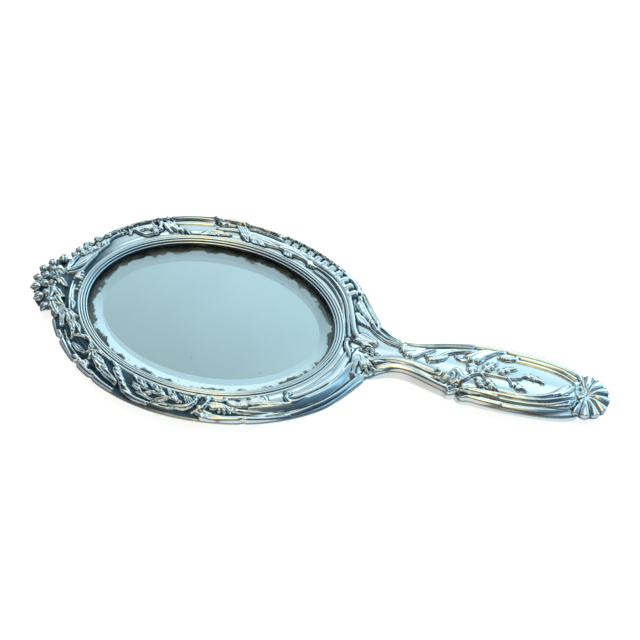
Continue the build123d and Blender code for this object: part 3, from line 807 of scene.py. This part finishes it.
def back_ornament(r):
    """Border of leaves round the back, a plain cartouche and a long leaf down the grip."""
    for k in range(28):
        angle = 2 * math.pi * (k + 0.5) / 28
        out = np.array([math.cos(angle), math.sin(angle)])
        middle = np.array([HEAD_X, 0]) + out * np.array([66, 50])
        along = np.array([-66 * out[1], 50 * out[0]])
        along /= np.linalg.norm(along)
        wave = 1 if k % 2 else -1
        r.acanthus([middle - along * 6 + out * wave * 1.5, middle + out * wave * 3.0, middle + along * 6],
                   3.4, 1.0, lean=45)
    for scale, height in [(0.78, 0.8), (0.735, 0.6), (0.42, 0.7), (0.385, 0.5)]:
        ring = [(HEAD_X + 75 * scale * math.cos(t), 60 * scale * math.sin(t))
                for t in np.linspace(0, 2 * math.pi, 40)]
        r.reed(1.0, height, ring, taper=(1, 1, 1))
    for k in range(16):
        angle = 2 * math.pi * k / 16
        out = np.array([math.cos(angle), math.sin(angle)])
        root = np.array([HEAD_X, 0]) + out * np.array([34, 27])
        tip = np.array([HEAD_X, 0]) + out * np.array([50, 39])
        r.leaf(2.6, 0.9, [root, (root + tip) / 2, tip], taper=(0.5, 1, 0.3))
    r.acanthus([(34, 0), (60, 0.4), (86, 0), (118, 0)], 9.0, 1.2, lean=42)


def back_half(side):
    outer, _ = outline_with_notches(OUTER_COUNTS, side)
    x_axis = np.clip(np.interp(outer[:, 0], [-132.5, END_X], [-128.5, END_X - 4.0]), -128.5, END_X - 4.0)
    inner = np.stack([x_axis, np.zeros_like(x_axis)], 1)
    share = np.linspace(0, 1, BACK_ROWS)**1.4
    plan = outer[:, None] + (inner - outer)[:, None] * share[None, :, None]
    x, y = plan[:, :, 0], plan[:, :, 1]
    inside = 1 - ((x - GRIP_X) / GRIP_AXES[0])**2 - (y / GRIP_AXES[1])**2
    depth = GRIP_AXES[2] * np.sqrt(np.clip(inside, 0, 1)) * smoothstep(-8, 12, x)
    edge = np.hypot(x - outer[:, :1], y - outer[:, 1:])
    grip = SEAM_Z - depth * np.sqrt(1 - (1 - np.clip(edge / GRIP_TURN, 0, 1))**2)
    level = np.clip(np.minimum(pan_level(x, y), grip), 0, SEAM_Z)
    relief = Relief(x, y)
    back_ornament(relief)
    relief.height = blur(relief.height, 1)
    level = np.maximum(level - relief.height * smoothstep(0.05, 0.2, share[None, :]), 0.02)
    hollow = np.clip(relief.height - blur(relief.height, 8), -1, 0) * -1 / 0.25
    patina_and_painted_shade = np.clip(hollow, 0, 1)
    return np.stack([x, y, level], 2), patina_and_painted_shade


# ---------------------------------------------------------------- edge wire
WIRE = (0.42, 0.5)              # half-thickness outwards, half-height
WIRE_SIDES = 10


def build_wire(material):
    points, inward = outline_with_notches(OUTER_COUNTS, 1)
    other = [values[-2:0:-1] for values in outline_with_notches(OUTER_COUNTS, -1)]
    points = np.concatenate([points, other[0]])
    inward = np.concatenate([inward, other[1]])
    angle = full_turn(WIRE_SIDES)
    plan = points[:, None] - inward[:, None] * (WIRE[0] * np.cos(angle))[None, :, None]
    z = SEAM_Z + WIRE[1] * np.sin(angle)[None, :] + np.zeros((len(points), 1))
    patina_and_painted_shade = np.where(np.abs(np.sin(angle)) > 0.85, 0.7, 0.1)[None, :] + np.zeros((len(points), 1))
    loop = Grids()
    loop.add(np.concatenate([plan, z[:, :, None]], 2), patina_and_painted_shade, wrap_rows=True, wrap_columns=True)
    loop.build("seam_wire", material, "edge_wire")


# ---------------------------------------------------------------- crest
FLOWER_HEART = 0.28             # where the petals start, as a share of the radius
FLOWER_HEIGHT = 2.6
BUD_Z, BUD_STEP, BUD_DROOP = 11.6, 0.5, 0.15    # level, rise from one bud to the next, slope
BUD_RIBS = 5
LEAF_Z, LEAF_CROWN, LEAF_SKIRT = 12.4, 1.5, 1.2  # level of a leaf, rise of its middle, depth of its edge


class Casting(Grids):
    """Buds, flowers and leaves."""

    def petal_head(self, centre, radius, petals, height, tilt, turn):
        """Open flower seen from above: petals round a pitted boss, skirt turned under."""
        heart = FLOWER_HEART
        rings, around = 22, petals * 12
        t = np.linspace(0, 1, rings)[:, None]
        angle = full_turn(around)[None, :]
        lobe = np.abs(np.cos(petals * (angle - turn) / 2))
        reach = radius * (0.74 + 0.26 * lobe**0.6)
        r = reach * np.sin(np.clip(t, 0, 0.93) * math.pi / 2 / 0.93)
        cup = height * (1 - 0.15 * t - 0.85 * t**3.4)
        petal = 0.16 * radius * (lobe - 0.6) * smoothstep(heart * 0.8, heart * 1.6, t)
        rib = 0.06 * radius * np.cos(petals * 3 * (angle - turn)) * smoothstep(0.4, 0.8, t)
        boss = 0.30 * radius * np.exp(-(t / (heart * 0.62))**4)
        boss = boss - 0.2 * radius * np.exp(-((t - heart) / 0.07)**2)
        z = cup + petal + rib + boss - 0.9 * height * smoothstep(0.9, 1.0, t)
        x, y = r * np.cos(angle), r * np.sin(angle)
        z = z + tilt[0] * x + tilt[1] * y
        crease = (1 - lobe)**3 * smoothstep(heart, 0.6, t) + np.exp(-((t - heart) / 0.09)**2)
        patina_and_painted_shade = np.clip(crease + 0.8 * smoothstep(0.85, 1.0, t), 0, 1)
        points = np.stack([centre[0] + x, centre[1] + y, centre[2] + z], 2)
        self.add(points, patina_and_painted_shade, wrap_columns=True)

    def bud(self, centre, radius, angle):
        """Closed bud: a ribbed egg that points along angle (degrees) in the plan."""
        rows, around = 18, 24
        s = np.linspace(0.02, 0.98, rows)[:, None]
        a = full_turn(around)[None, :]
        ribs = 1 + 0.2 * np.cos(BUD_RIBS * a) * smoothstep(0.1, 0.6, s)
        girth = radius * 0.94 * np.sin(math.pi * s**0.85) * ribs
        length = radius * 2.6 * (s - 0.45)
        u = length + 0 * a
        v = girth * np.cos(a)
        w = girth * np.sin(a)
        turn = math.radians(angle)
        x = centre[0] + u * math.cos(turn) - v * math.sin(turn)
        y = centre[1] + u * math.sin(turn) + v * math.cos(turn)
        z = centre[2] + w - BUD_DROOP * u
        furrow = np.clip(0.5 - 0.5 * np.cos(BUD_RIBS * a), 0, 1)**4
        patina_and_painted_shade = furrow * 0.9 + 0.5 * smoothstep(0.2, 0.05, s) + 0 * a
        self.add(np.stack([x, y, z], 2), np.clip(patina_and_painted_shade, 0, 1), wrap_columns=True)

    def leaf(self, points, half_width, twist):
        """Curved leaf with a middle rib, curled edges and a thickness."""
        path = spline(points, 8)
        along = np.gradient(path, axis=0)
        along /= np.linalg.norm(along, axis=1)[:, None]
        across = np.stack([-along[:, 1], along[:, 0]], 1)
        s = np.linspace(0, 1, len(path))[:, None]
        q = np.linspace(-1, 1, 13)[None, :]
        width = half_width * np.sin(math.pi * np.clip(s, 0.04, 0.985)**0.8)**0.8
        width = width * (1 + 0.12 * np.cos(14 * s))
        x = path[:, :1] + across[:, :1] * q * width
        y = path[:, 1:] + across[:, 1:] * q * width
        arch = LEAF_CROWN * np.sin(math.pi * s**0.7) * (1 - 0.75 * q**2)
        arch = arch - 0.35 * half_width * np.exp(-(q / 0.16)**2)
        ripple = 0.08 * half_width * np.cos(22 * s - 3 * np.abs(q)) * smoothstep(0.2, 0.7, np.abs(q))
        z = LEAF_Z + arch + ripple + twist * q * width
        patina_and_painted_shade = np.clip(np.exp(-(q / 0.2)**2) + 0.35 * smoothstep(0.85, 1, np.abs(q)), 0, 1) + 0 * s
        skirt_z = np.minimum(z[:, [0, -1]] - LEAF_SKIRT, LEAF_Z)
        x = np.concatenate([x[:, :1], x, x[:, -1:]], 1)
        y = np.concatenate([y[:, :1], y, y[:, -1:]], 1)
        z = np.concatenate([skirt_z[:, :1], z, skirt_z[:, 1:]], 1)
        patina_and_painted_shade = np.concatenate([np.ones((len(path), 1)), patina_and_painted_shade, np.ones((len(path), 1))], 1)
        self.add(np.stack([x, y, z], 2), patina_and_painted_shade, flip=True)


# buds round the crest: x, y, direction they point in, radius
CREST_BUDS = [
    (-141.7, -1.4, 180, 2.3), (-140.8, 4.2, 160, 2.2), (-137.6, 8.6, 138, 2.3),
    (-133.6, 13.2, 115, 2.5), (-140.6, -7.2, 200, 2.4), (-137.0, -12.8, 225, 2.4),
    (-132.6, -17.4, 250, 2.3), (-138.2, 0.8, 175, 2.0), (-136.8, -4.6, 190, 2.0),
    (-134.6, -9.4, 215, 2.1), (-131.0, -13.6, 240, 2.1), (-136.0, 5.0, 150, 1.9),
    (-129.4, 17.2, 75, 1.9), (-128.2, 20.4, 100, 1.7), (-126.0, 19.2, 40, 1.6),
    (-125.6, 24.6, 60, 1.9), (-123.2, 22.0, 30, 1.7), (-121.2, 28.8, 50, 1.8),
    (-119.6, 26.0, 20, 1.6)]
# open flowers: x, y, radius, petals, level
CREST_FLOWERS = [(-134.2, 1.2, 2.6, 5, 12.9), (-133.4, -4.6, 2.8, 5, 12.9), (-139.4, -3.6, 1.9, 5, 12.4)]
# leaves that reach in from the crest: three points, half-width, twist
CREST_LEAVES = [
    ([(-135.4, 4.0), (-132.6, 5.2), (-129.4, 3.4)], 2.2, 0.3),
    ([(-133, 0.4), (-129.6, -0.8), (-125.8, -3.4)], 2.1, -0.3),
    ([(-134.4, -4.4), (-132.6, -8.2), (-132, -12.6)], 2.5, 0.35),
    ([(-131.4, -5.2), (-128.6, -8.0), (-124.8, -9.8)], 1.9, -0.2),
    ([(-130, -9.6), (-127.4, -12.6), (-123.8, -14.4)], 2.0, 0.25),
    ([(-130.6, -13.4), (-128.2, -17.2), (-124.8, -20.6)], 1.9, -0.2)]
# lump behind the flowers: middle x and y, half-length, half-width
CREST_CORE = (-132.6, -1.2, 10.0, 16.0)


def build_crest(material):
    cast = Casting()
    body_rows, body_around = 14, 64
    t = np.linspace(0, 1, body_rows)[:, None]
    angle = full_turn(body_around)[None, :]
    lump = 1 + 0.05 * np.cos(9 * angle) + 0.03 * np.cos(17 * angle + 1)
    middle_x, middle_y, half_length, half_width = CREST_CORE
    bulge = np.sin(math.pi * 0.96 * t)
    x = middle_x + half_length * lump * np.cos(angle) * bulge
    y = middle_y + half_width * lump * np.sin(angle) * bulge
    z = 5.6 + 7.0 * t + 0 * angle
    cast.add(np.stack([x, y, z], 2), np.full(x.shape, 0.85), wrap_columns=True)
    for i, (x, y, direction, radius) in enumerate(CREST_BUDS):
        cast.bud((x, y, BUD_Z + BUD_STEP * (i % 3)), radius, direction)
    for i, (x, y, radius, petals, level) in enumerate(CREST_FLOWERS):
        away = np.array([x + 131, y + 1.5]) / 40
        cast.petal_head((x, y, level - 1.2), radius, petals, FLOWER_HEIGHT, -away, 0.7 * i)
    for points, half_width, twist in CREST_LEAVES:
        cast.leaf(points, half_width, twist)
    cast.build("crest_flowers", material, "crest_bouquet")


# ---------------------------------------------------------------- scallop
FLUTES = 8
FAN_X, FAN_SPREAD = 132.7, 112.0            # middle of the fan, its half-angle in degrees
FAN_REACH = (12.2, 11.8)                    # along x and y
FAN_BASE_Z, FAN_SWELL, FAN_DROP = 10.9, 1.5, 3.0
FLUTE_DEPTH = 1.3
BOSS_AT, BOSS_STRETCH = (130.4, 0.6), 1.25
# radius and level
BOSS_PROFILE = [(0.05, 10.4), (0.8, 10.5), (1.3, 11.0), (1.6, 11.9), (2.0, 12.5), (2.5, 12.5),
                (2.9, 12.0), (3.1, 10.6)]
BOSS_PATINA = [1, 1, 1, 0.5, 0, 0, 0.3, 1]  # of each point of the profile


def build_scallop(material):
    """Fluted fan round a hollow boss; its thin rim is scalloped."""
    cast = Casting()
    rings, around = 40, 260
    t = np.linspace(0, 1, rings)[:, None]
    angle = np.radians(np.linspace(-FAN_SPREAD, FAN_SPREAD, around))[None, :]
    phase = FLUTES * angle * 180 / (2 * FAN_SPREAD)
    rib = np.abs(np.cos(phase))**0.8
    edge = 1 / np.sqrt((np.cos(angle) / FAN_REACH[0])**2 + (np.sin(angle) / FAN_REACH[1])**2)
    reach = edge * (0.93 + 0.07 * rib)
    top = np.clip(t / 0.7, 0, 1)
    drop = smoothstep(0.7, 0.8, t)
    under = np.clip((t - 0.8) / 0.2, 0, 1)
    r = 0.4 + (reach - 0.4) * top * (1 - 0.75 * under)
    swell = FAN_BASE_Z + FAN_SWELL * np.sin(math.pi * top**0.8) + 0.2 * t
    flute = FLUTE_DEPTH * (rib - 0.5) * smoothstep(0.05, 0.5, top) * (1 - drop)
    z = swell + flute - FAN_DROP * drop
    x = FAN_X + r * np.cos(angle)
    y = r * np.sin(angle)
    furrow = (1 - rib)**2 * smoothstep(0.05, 0.3, top)
    patina_and_painted_shade = np.clip(furrow + 0.8 * drop + smoothstep(0.1, 0.0, top), 0, 1)
    cast.add(np.stack([x, y, z], 2), patina_and_painted_shade)
    a = full_turn(72)[None, :]
    profile = np.array(BOSS_PROFILE)
    r, z = profile[:, :1], profile[:, 1:]
    x = BOSS_AT[0] + r * np.cos(a)
    y = BOSS_AT[1] + r * np.sin(a) * BOSS_STRETCH
    patina_and_painted_shade = np.array(BOSS_PATINA)[:, None] + 0 * a
    cast.add(np.stack([x, y, z + 0 * a], 2), patina_and_painted_shade, wrap_columns=True)
    cast.build("scallop_fan", material, "butt_scallop")


# ---------------------------------------------------------------- materials
def new_material(name):
    material = bpy.data.materials.new(name)
    material.use_nodes = True
    tree = material.node_tree
    return material, tree, tree.nodes["Principled BSDF"]


def add_node(tree, kind, **settings):
    """New node; in_1=value sets its input number 1, any other name an attribute."""
    node = tree.nodes.new(kind)
    for key, value in settings.items():
        if key.startswith("in_"):
            node.inputs[int(key[3:])].default_value = value
        else:
            setattr(node, key, value)
    return node


def feed(tree, node, **sources):
    """Links sockets to a node's inputs, named with _ for a space."""
    for name, source in sources.items():
        tree.links.new(source, node.inputs[name.replace("_", " ")])


def set_inputs(node, **values):
    """Sets a node's inputs, named with _ for a space."""
    for name, value in values.items():
        node.inputs[name.replace("_", " ")].default_value = value


def ramp(tree, stops, source):
    node = add_node(tree, "ShaderNodeValToRGB")
    elements = node.color_ramp.elements
    while len(elements) < len(stops):
        elements.new(0.5)
    for element, (position, colour) in zip(elements, stops):
        element.position = position
        element.color = (*colour, 1)
    tree.links.new(source, node.inputs[0])
    return node.outputs[0]


def noise(tree, scale, detail=4.0, roughness=0.55, stretch=None):
    """Noise in object space; stretch is a scale per axis."""
    place = add_node(tree, "ShaderNodeTexCoord").outputs["Object"]
    if stretch:
        mapping = add_node(tree, "ShaderNodeMapping")
        set_inputs(mapping, Scale=stretch)
        feed(tree, mapping, Vector=place)
        place = mapping.outputs[0]
    node = add_node(tree, "ShaderNodeTexNoise")
    set_inputs(node, Scale=scale, Detail=detail, Roughness=roughness)
    feed(tree, node, Vector=place)
    return node.outputs[0]


def mapped(tree, source, low, high, to=(0.0, 1.0), smooth=False):
    """Value that goes from to[0] to to[1] while the source goes from low to high."""
    node = add_node(tree, "ShaderNodeMapRange")
    if smooth:
        node.interpolation_type = "SMOOTHSTEP"
    for key, value in zip(("From Min", "From Max", "To Min", "To Max"), (low, high, *to)):
        node.inputs[key].default_value = value
    feed(tree, node, Value=source)
    return node.outputs["Result"]


def scaled_sum(tree, source, factor, offset):
    """Source times factor plus offset, which is a number or another socket."""
    node = add_node(tree, "ShaderNodeMath", operation="MULTIPLY_ADD", in_1=factor)
    tree.links.new(source, node.inputs[0])
    if isinstance(offset, float):
        node.inputs[2].default_value = offset
    else:
        tree.links.new(offset, node.inputs[2])
    return node.outputs[0]


def blend(tree, how, first, second, factor=None):
    """Two colours together: wholly, or as far as the factor socket says."""
    mix = add_node(tree, "ShaderNodeMix", data_type="RGBA", blend_type=how)
    if factor is None:
        set_inputs(mix, Factor=1.0)
    else:
        feed(tree, mix, Factor=factor)
    tree.links.new(first, mix.inputs[6])
    tree.links.new(second, mix.inputs[7])
    return mix.outputs[2]


def add_bump(tree, shader, height, strength, distance):
    bump = add_node(tree, "ShaderNodeBump")
    set_inputs(bump, Strength=strength, Distance=distance)
    feed(tree, bump, Height=height)
    feed(tree, shader, Normal=bump.outputs[0])


def silver_material():
    """Polished silver, dark where the darkening attribute is high: tarnish, and painted shade on parts of
    the front and the bezel.
    """
    material, tree, shader = new_material("oxidised_silver")
    set_inputs(shader, Metallic=1.0)
    # the darkening attribute holds tarnish, and painted shade on the front's ground and on the bezel's
    # foot
    patina_and_painted_shade = add_node(tree, "ShaderNodeAttribute", attribute_name="patina_and_painted_shade").outputs["Fac"]
    tarnish_and_shade = scaled_sum(tree, noise(tree, 260, 5), 0.35, patina_and_painted_shade)
    tarnish_and_shade_mix = mapped(tree, tarnish_and_shade, 0.30, 1.15, smooth=True)
    clean = ramp(tree, [(0.3, (0.88, 0.90, 0.90)), (0.62, (0.93, 0.93, 0.90)), (0.8, (0.90, 0.86, 0.76))],
                 noise(tree, 38, 3))
    dark = ramp(tree, [(0.35, (0.035, 0.07, 0.10)), (0.7, (0.10, 0.15, 0.18))], noise(tree, 90, 3))
    feed(tree, shader, Base_Color=blend(tree, "MIX", clean, dark, tarnish_and_shade_mix))
    feed(tree, shader, Roughness=mapped(tree, tarnish_and_shade, 0.0, 1.0, to=(0.15, 0.42)))
    scratches = noise(tree, 900, 2, 0.6, stretch=(0.25, 1.0, 1.0))
    add_bump(tree, shader, scratches, strength=0.02, distance=0.0002)
    return material


def glass_material():
    """Old plate glass with a trace of waviness."""
    material, tree, shader = new_material("old_plate_glass")
    set_inputs(shader, Transmission_Weight=1.0, IOR=1.5)
    tint = ramp(tree, [(0.3, (0.955, 0.98, 0.98)), (0.7, (0.97, 0.985, 0.98))], noise(tree, 14, 2))
    feed(tree, shader, Base_Color=tint)
    smear = ramp(tree, [(0.45, (0.0, 0.0, 0.0)), (0.85, (0.05, 0.05, 0.05))], noise(tree, 30, 4))
    feed(tree, shader, Roughness=smear)
    add_bump(tree, shader, noise(tree, 18, 1), strength=0.03, distance=0.001)
    return material


def silvering_material():
    """Mirror coat that has gone grey and brown in from its edge, with a few specks."""
    material, tree, shader = new_material("aged_silvering")
    depth = add_node(tree, "ShaderNodeAttribute", attribute_name="depth").outputs["Fac"]
    ragged = scaled_sum(tree, noise(tree, 150, 6, 0.6), 11.0, depth)
    lost = mapped(tree, ragged, 11.6, 10.4, smooth=True)
    speck = add_node(tree, "ShaderNodeTexVoronoi")
    set_inputs(speck, Scale=95.0)
    feed(tree, speck, Vector=add_node(tree, "ShaderNodeTexCoord").outputs["Object"])
    dots = mapped(tree, speck.outputs["Distance"], 0.035, 0.02, to=(0.0, 0.8))
    either = add_node(tree, "ShaderNodeMath", operation="MAXIMUM")
    tree.links.new(lost, either.inputs[0])
    tree.links.new(dots, either.inputs[1])
    spoilt = either.outputs[0]
    bright = ramp(tree, [(0.3, (0.80, 0.83, 0.82)), (0.7, (0.86, 0.88, 0.87))], noise(tree, 22, 3))
    stain = ramp(tree, [(0.3, (0.05, 0.06, 0.06)), (0.5, (0.2, 0.19, 0.16)), (0.75, (0.4, 0.37, 0.3))],
                 noise(tree, 120, 5))
    feed(tree, shader, Base_Color=blend(tree, "MIX", bright, stain, spoilt))
    feed(tree, shader, Metallic=mapped(tree, spoilt, 0.0, 1.0, to=(1.0, 0.35)))
    feed(tree, shader, Roughness=mapped(tree, spoilt, 0.0, 1.0, to=(0.02, 0.5)))
    return material


def grained_material(name, dark, light, scale, roughness, metallic, stretch):
    """Plain material for a piece inside the mirror: two tones of noise and a fine bump."""
    material, tree, shader = new_material(name)
    grain = noise(tree, scale, 6, 0.6, stretch)
    feed(tree, shader, Base_Color=ramp(tree, [(0.35, dark), (0.65, light)], grain))
    set_inputs(shader, Roughness=roughness, Metallic=metallic)
    add_bump(tree, shader, grain, strength=0.4, distance=0.0002)
    return material


# pieces behind the glass: dark tone, light tone, scale, roughness, metallic, stretch of the grain
INSIDE = {
    "backing_paint": ((0.22, 0.07, 0.045), (0.34, 0.12, 0.08), 400, 0.85, 0.0, None),
    "edge_felt": ((0.05, 0.06, 0.05), (0.14, 0.16, 0.14), 1200, 1.0, 0.0, None),
    "cushion_card": ((0.38, 0.31, 0.21), (0.52, 0.44, 0.32), 300, 0.9, 0.0, None),
    "backing_board": ((0.28, 0.17, 0.09), (0.47, 0.32, 0.19), 120, 0.7, 0.0, (0.1, 1.0, 1.0)),
    "frame_fill": ((0.10, 0.085, 0.07), (0.2, 0.17, 0.14), 500, 0.95, 0.0, None),
    "handle_core": ((0.10, 0.085, 0.07), (0.2, 0.17, 0.14), 500, 0.95, 0.0, None),
    "tang": ((0.3, 0.3, 0.31), (0.5, 0.5, 0.5), 300, 0.4, 1.0, (0.1, 1.0, 1.0)),
    "tang_screws": ((0.5, 0.36, 0.14), (0.72, 0.56, 0.26), 500, 0.35, 1.0, None),
}


def dress_inside():
    for node, settings in INSIDE.items():
        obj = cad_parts[node]
        obj.data.materials.clear()
        obj.data.materials.append(grained_material(node + "_looks", *settings))


# ---------------------------------------------------------------- surroundings and camera
def floor_material():
    material, tree, shader = new_material("pale_paper")
    tone = ramp(tree, [(0.3, (0.80, 0.79, 0.78)), (0.7, (0.83, 0.82, 0.81))], noise(tree, 6, 3))
    feed(tree, shader, Base_Color=tone, Emission_Color=tone)
    set_inputs(shader, Emission_Strength=0.85, Roughness=0.9, Specular_IOR_Level=0.1)
    return material


FLOOR_HALF, FLOOR_Z = 8.0, -0.0004      # metres


def build_floor():
    mesh = bpy.data.meshes.new("floor")
    corners = [(-1, -1), (1, -1), (1, 1), (-1, 1)]
    mesh.from_pydata([(x * FLOOR_HALF, y * FLOOR_HALF, FLOOR_Z) for x, y in corners], [], [(0, 1, 2, 3)])
    mesh.materials.append(floor_material())
    floor = bpy.data.objects.new("floor", mesh)
    floor.visible_glossy = False            # the silver mirrors the studio, not the paper
    bpy.context.scene.collection.objects.link(floor)


# colour of the studio along the arc over the mirror: 0 is the horizon behind it, 90 overhead,
# 180 the horizon behind the camera; below the horizon lies pale paper
STUDIO_ARC = [
    (-174, (0.40, 0.41, 0.42)), (-6, (0.40, 0.41, 0.42)), (0, (0.03, 0.05, 0.07)),
    (10, (0.14, 0.21, 0.26)), (18, (0.60, 0.78, 0.86)), (32, (0.86, 1.0, 1.0)),
    (40, (0.62, 0.82, 0.92)), (48, (0.38, 0.54, 0.64)), (54, (0.31, 0.44, 0.515)),
    (59, (0.235, 0.33, 0.37)), (68, (0.15, 0.22, 0.27)), (76, (0.11, 0.18, 0.26)),
    (81, (0.46, 0.60, 0.68)), (87, (0.56, 0.70, 0.77)), (95, (0.09, 0.15, 0.22)),
    (134, (0.03, 0.045, 0.06)), (178, (0.03, 0.03, 0.03))]
# and how it changes from the crest's side (-1) to the butt's side (1)
STUDIO_SIDES = [(-1.0, (0.40, 0.42, 0.44)), (-0.5, (0.60, 0.61, 0.60)), (-0.28, (0.80, 0.79, 0.75)),
                (-0.1, (0.95, 0.95, 0.94)), (0.12, (0.92, 1.0, 1.0)), (0.45, (0.78, 0.96, 1.0)),
                (1.0, (0.55, 0.82, 1.0))]
# warm card low behind the camera: its own arc and its reach to either side
CARD_ARC = [(84, (0, 0, 0)), (96, (0.58, 0.50, 0.22)), (128, (0.80, 0.69, 0.35)),
            (150, (0.3, 0.25, 0.12)), (166, (0, 0, 0))]
STUDIO_STRENGTH = 2.0
CARD_SIDES = [(-0.32, (0, 0, 0)), (-0.1, (1, 1, 1)), (0.07, (1, 1, 1)), (0.2, (0, 0, 0))]


def build_world():
    """Studio with a pale blue window low behind the mirror and a warm card low behind the camera."""
    world = bpy.data.worlds.new("studio")
    bpy.context.scene.world = world
    world.use_nodes = True
    tree = world.node_tree
    background = tree.nodes["Background"]
    direction = add_node(tree, "ShaderNodeTexCoord").outputs["Generated"]
    split = add_node(tree, "ShaderNodeSeparateXYZ")
    tree.links.new(direction, split.inputs[0])
    turn = add_node(tree, "ShaderNodeMath", operation="ARCTAN2")
    tree.links.new(split.outputs["Z"], turn.inputs[0])
    tree.links.new(split.outputs["Y"], turn.inputs[1])
    share = scaled_sum(tree, turn.outputs[0], 0.5 / math.pi, 0.5)
    wide = scaled_sum(tree, split.outputs["X"], 0.5, 0.5)
    lit = []
    for arc_stops, side_stops in ((STUDIO_ARC, STUDIO_SIDES), (CARD_ARC, CARD_SIDES)):
        arc = ramp(tree, [(0.5 + angle / 360, colour) for angle, colour in arc_stops], share)
        sides = ramp(tree, [(0.5 + 0.5 * x, colour) for x, colour in side_stops], wide)
        lit.append(blend(tree, "MULTIPLY", arc, sides))
    feed(tree, background, Color=blend(tree, "ADD", *lit))
    set_inputs(background, Strength=STUDIO_STRENGTH)


KEY_PLACE, KEY_SIZE, KEY_POWER = (0.15, 0.3, 1.0), 1.2, 8.0      # metres, watts


def add_key_light():
    light = bpy.data.lights.new("key", "AREA")
    light.shape = "RECTANGLE"
    light.size = light.size_y = KEY_SIZE
    light.energy = KEY_POWER
    light.color = (1.0, 0.99, 0.97)
    obj = bpy.data.objects.new("key", light)
    obj.location = KEY_PLACE
    obj.rotation_euler = (-Vector(KEY_PLACE)).to_track_quat("-Z", "Y").to_euler()
    obj.visible_glossy = False
    obj.visible_transmission = False
    bpy.context.scene.collection.objects.link(obj)


AZIMUTH, ELEVATION, ROLL = (math.radians(angle) for angle in (9.8, 54.4, 4.3))
DISTANCE = 0.6434                       # metres
AIM = Vector((-0.00035, 0.01164, 0.009))
LENS, SENSOR = 73.125, 36.0


def add_camera():
    back = Vector((math.sin(AZIMUTH) * math.cos(ELEVATION), -math.cos(AZIMUTH) * math.cos(ELEVATION),
                   math.sin(ELEVATION)))
    right = Vector((math.cos(AZIMUTH), math.sin(AZIMUTH), 0))
    up = back.cross(right)
    across = math.cos(ROLL) * right + math.sin(ROLL) * up
    upward = -math.sin(ROLL) * right + math.cos(ROLL) * up
    data = bpy.data.cameras.new("camera")
    data.lens = LENS
    data.sensor_width = SENSOR
    camera = bpy.data.objects.new("camera", data)
    turn = Matrix((across, upward, back)).transposed()
    camera.matrix_world = Matrix.Translation(AIM + back * DISTANCE) @ turn.to_4x4()
    bpy.context.scene.collection.objects.link(camera)
    bpy.context.scene.camera = camera


# ---------------------------------------------------------------- assembly
silver = silver_material()
build_sheet("front_relief", front_half, silver, "front_shell", flipped=1)
build_bezel(silver)
build_sheet("back_relief", back_half, silver, "back_shell", flipped=-1)
build_wire(silver)
build_crest(silver)
build_scallop(silver)
build_glass(glass_material())
build_silvering(silvering_material())
dress_inside()
build_floor()
build_world()
add_key_light()
add_camera()
bpy.context.scene.view_settings.view_transform = "Standard"
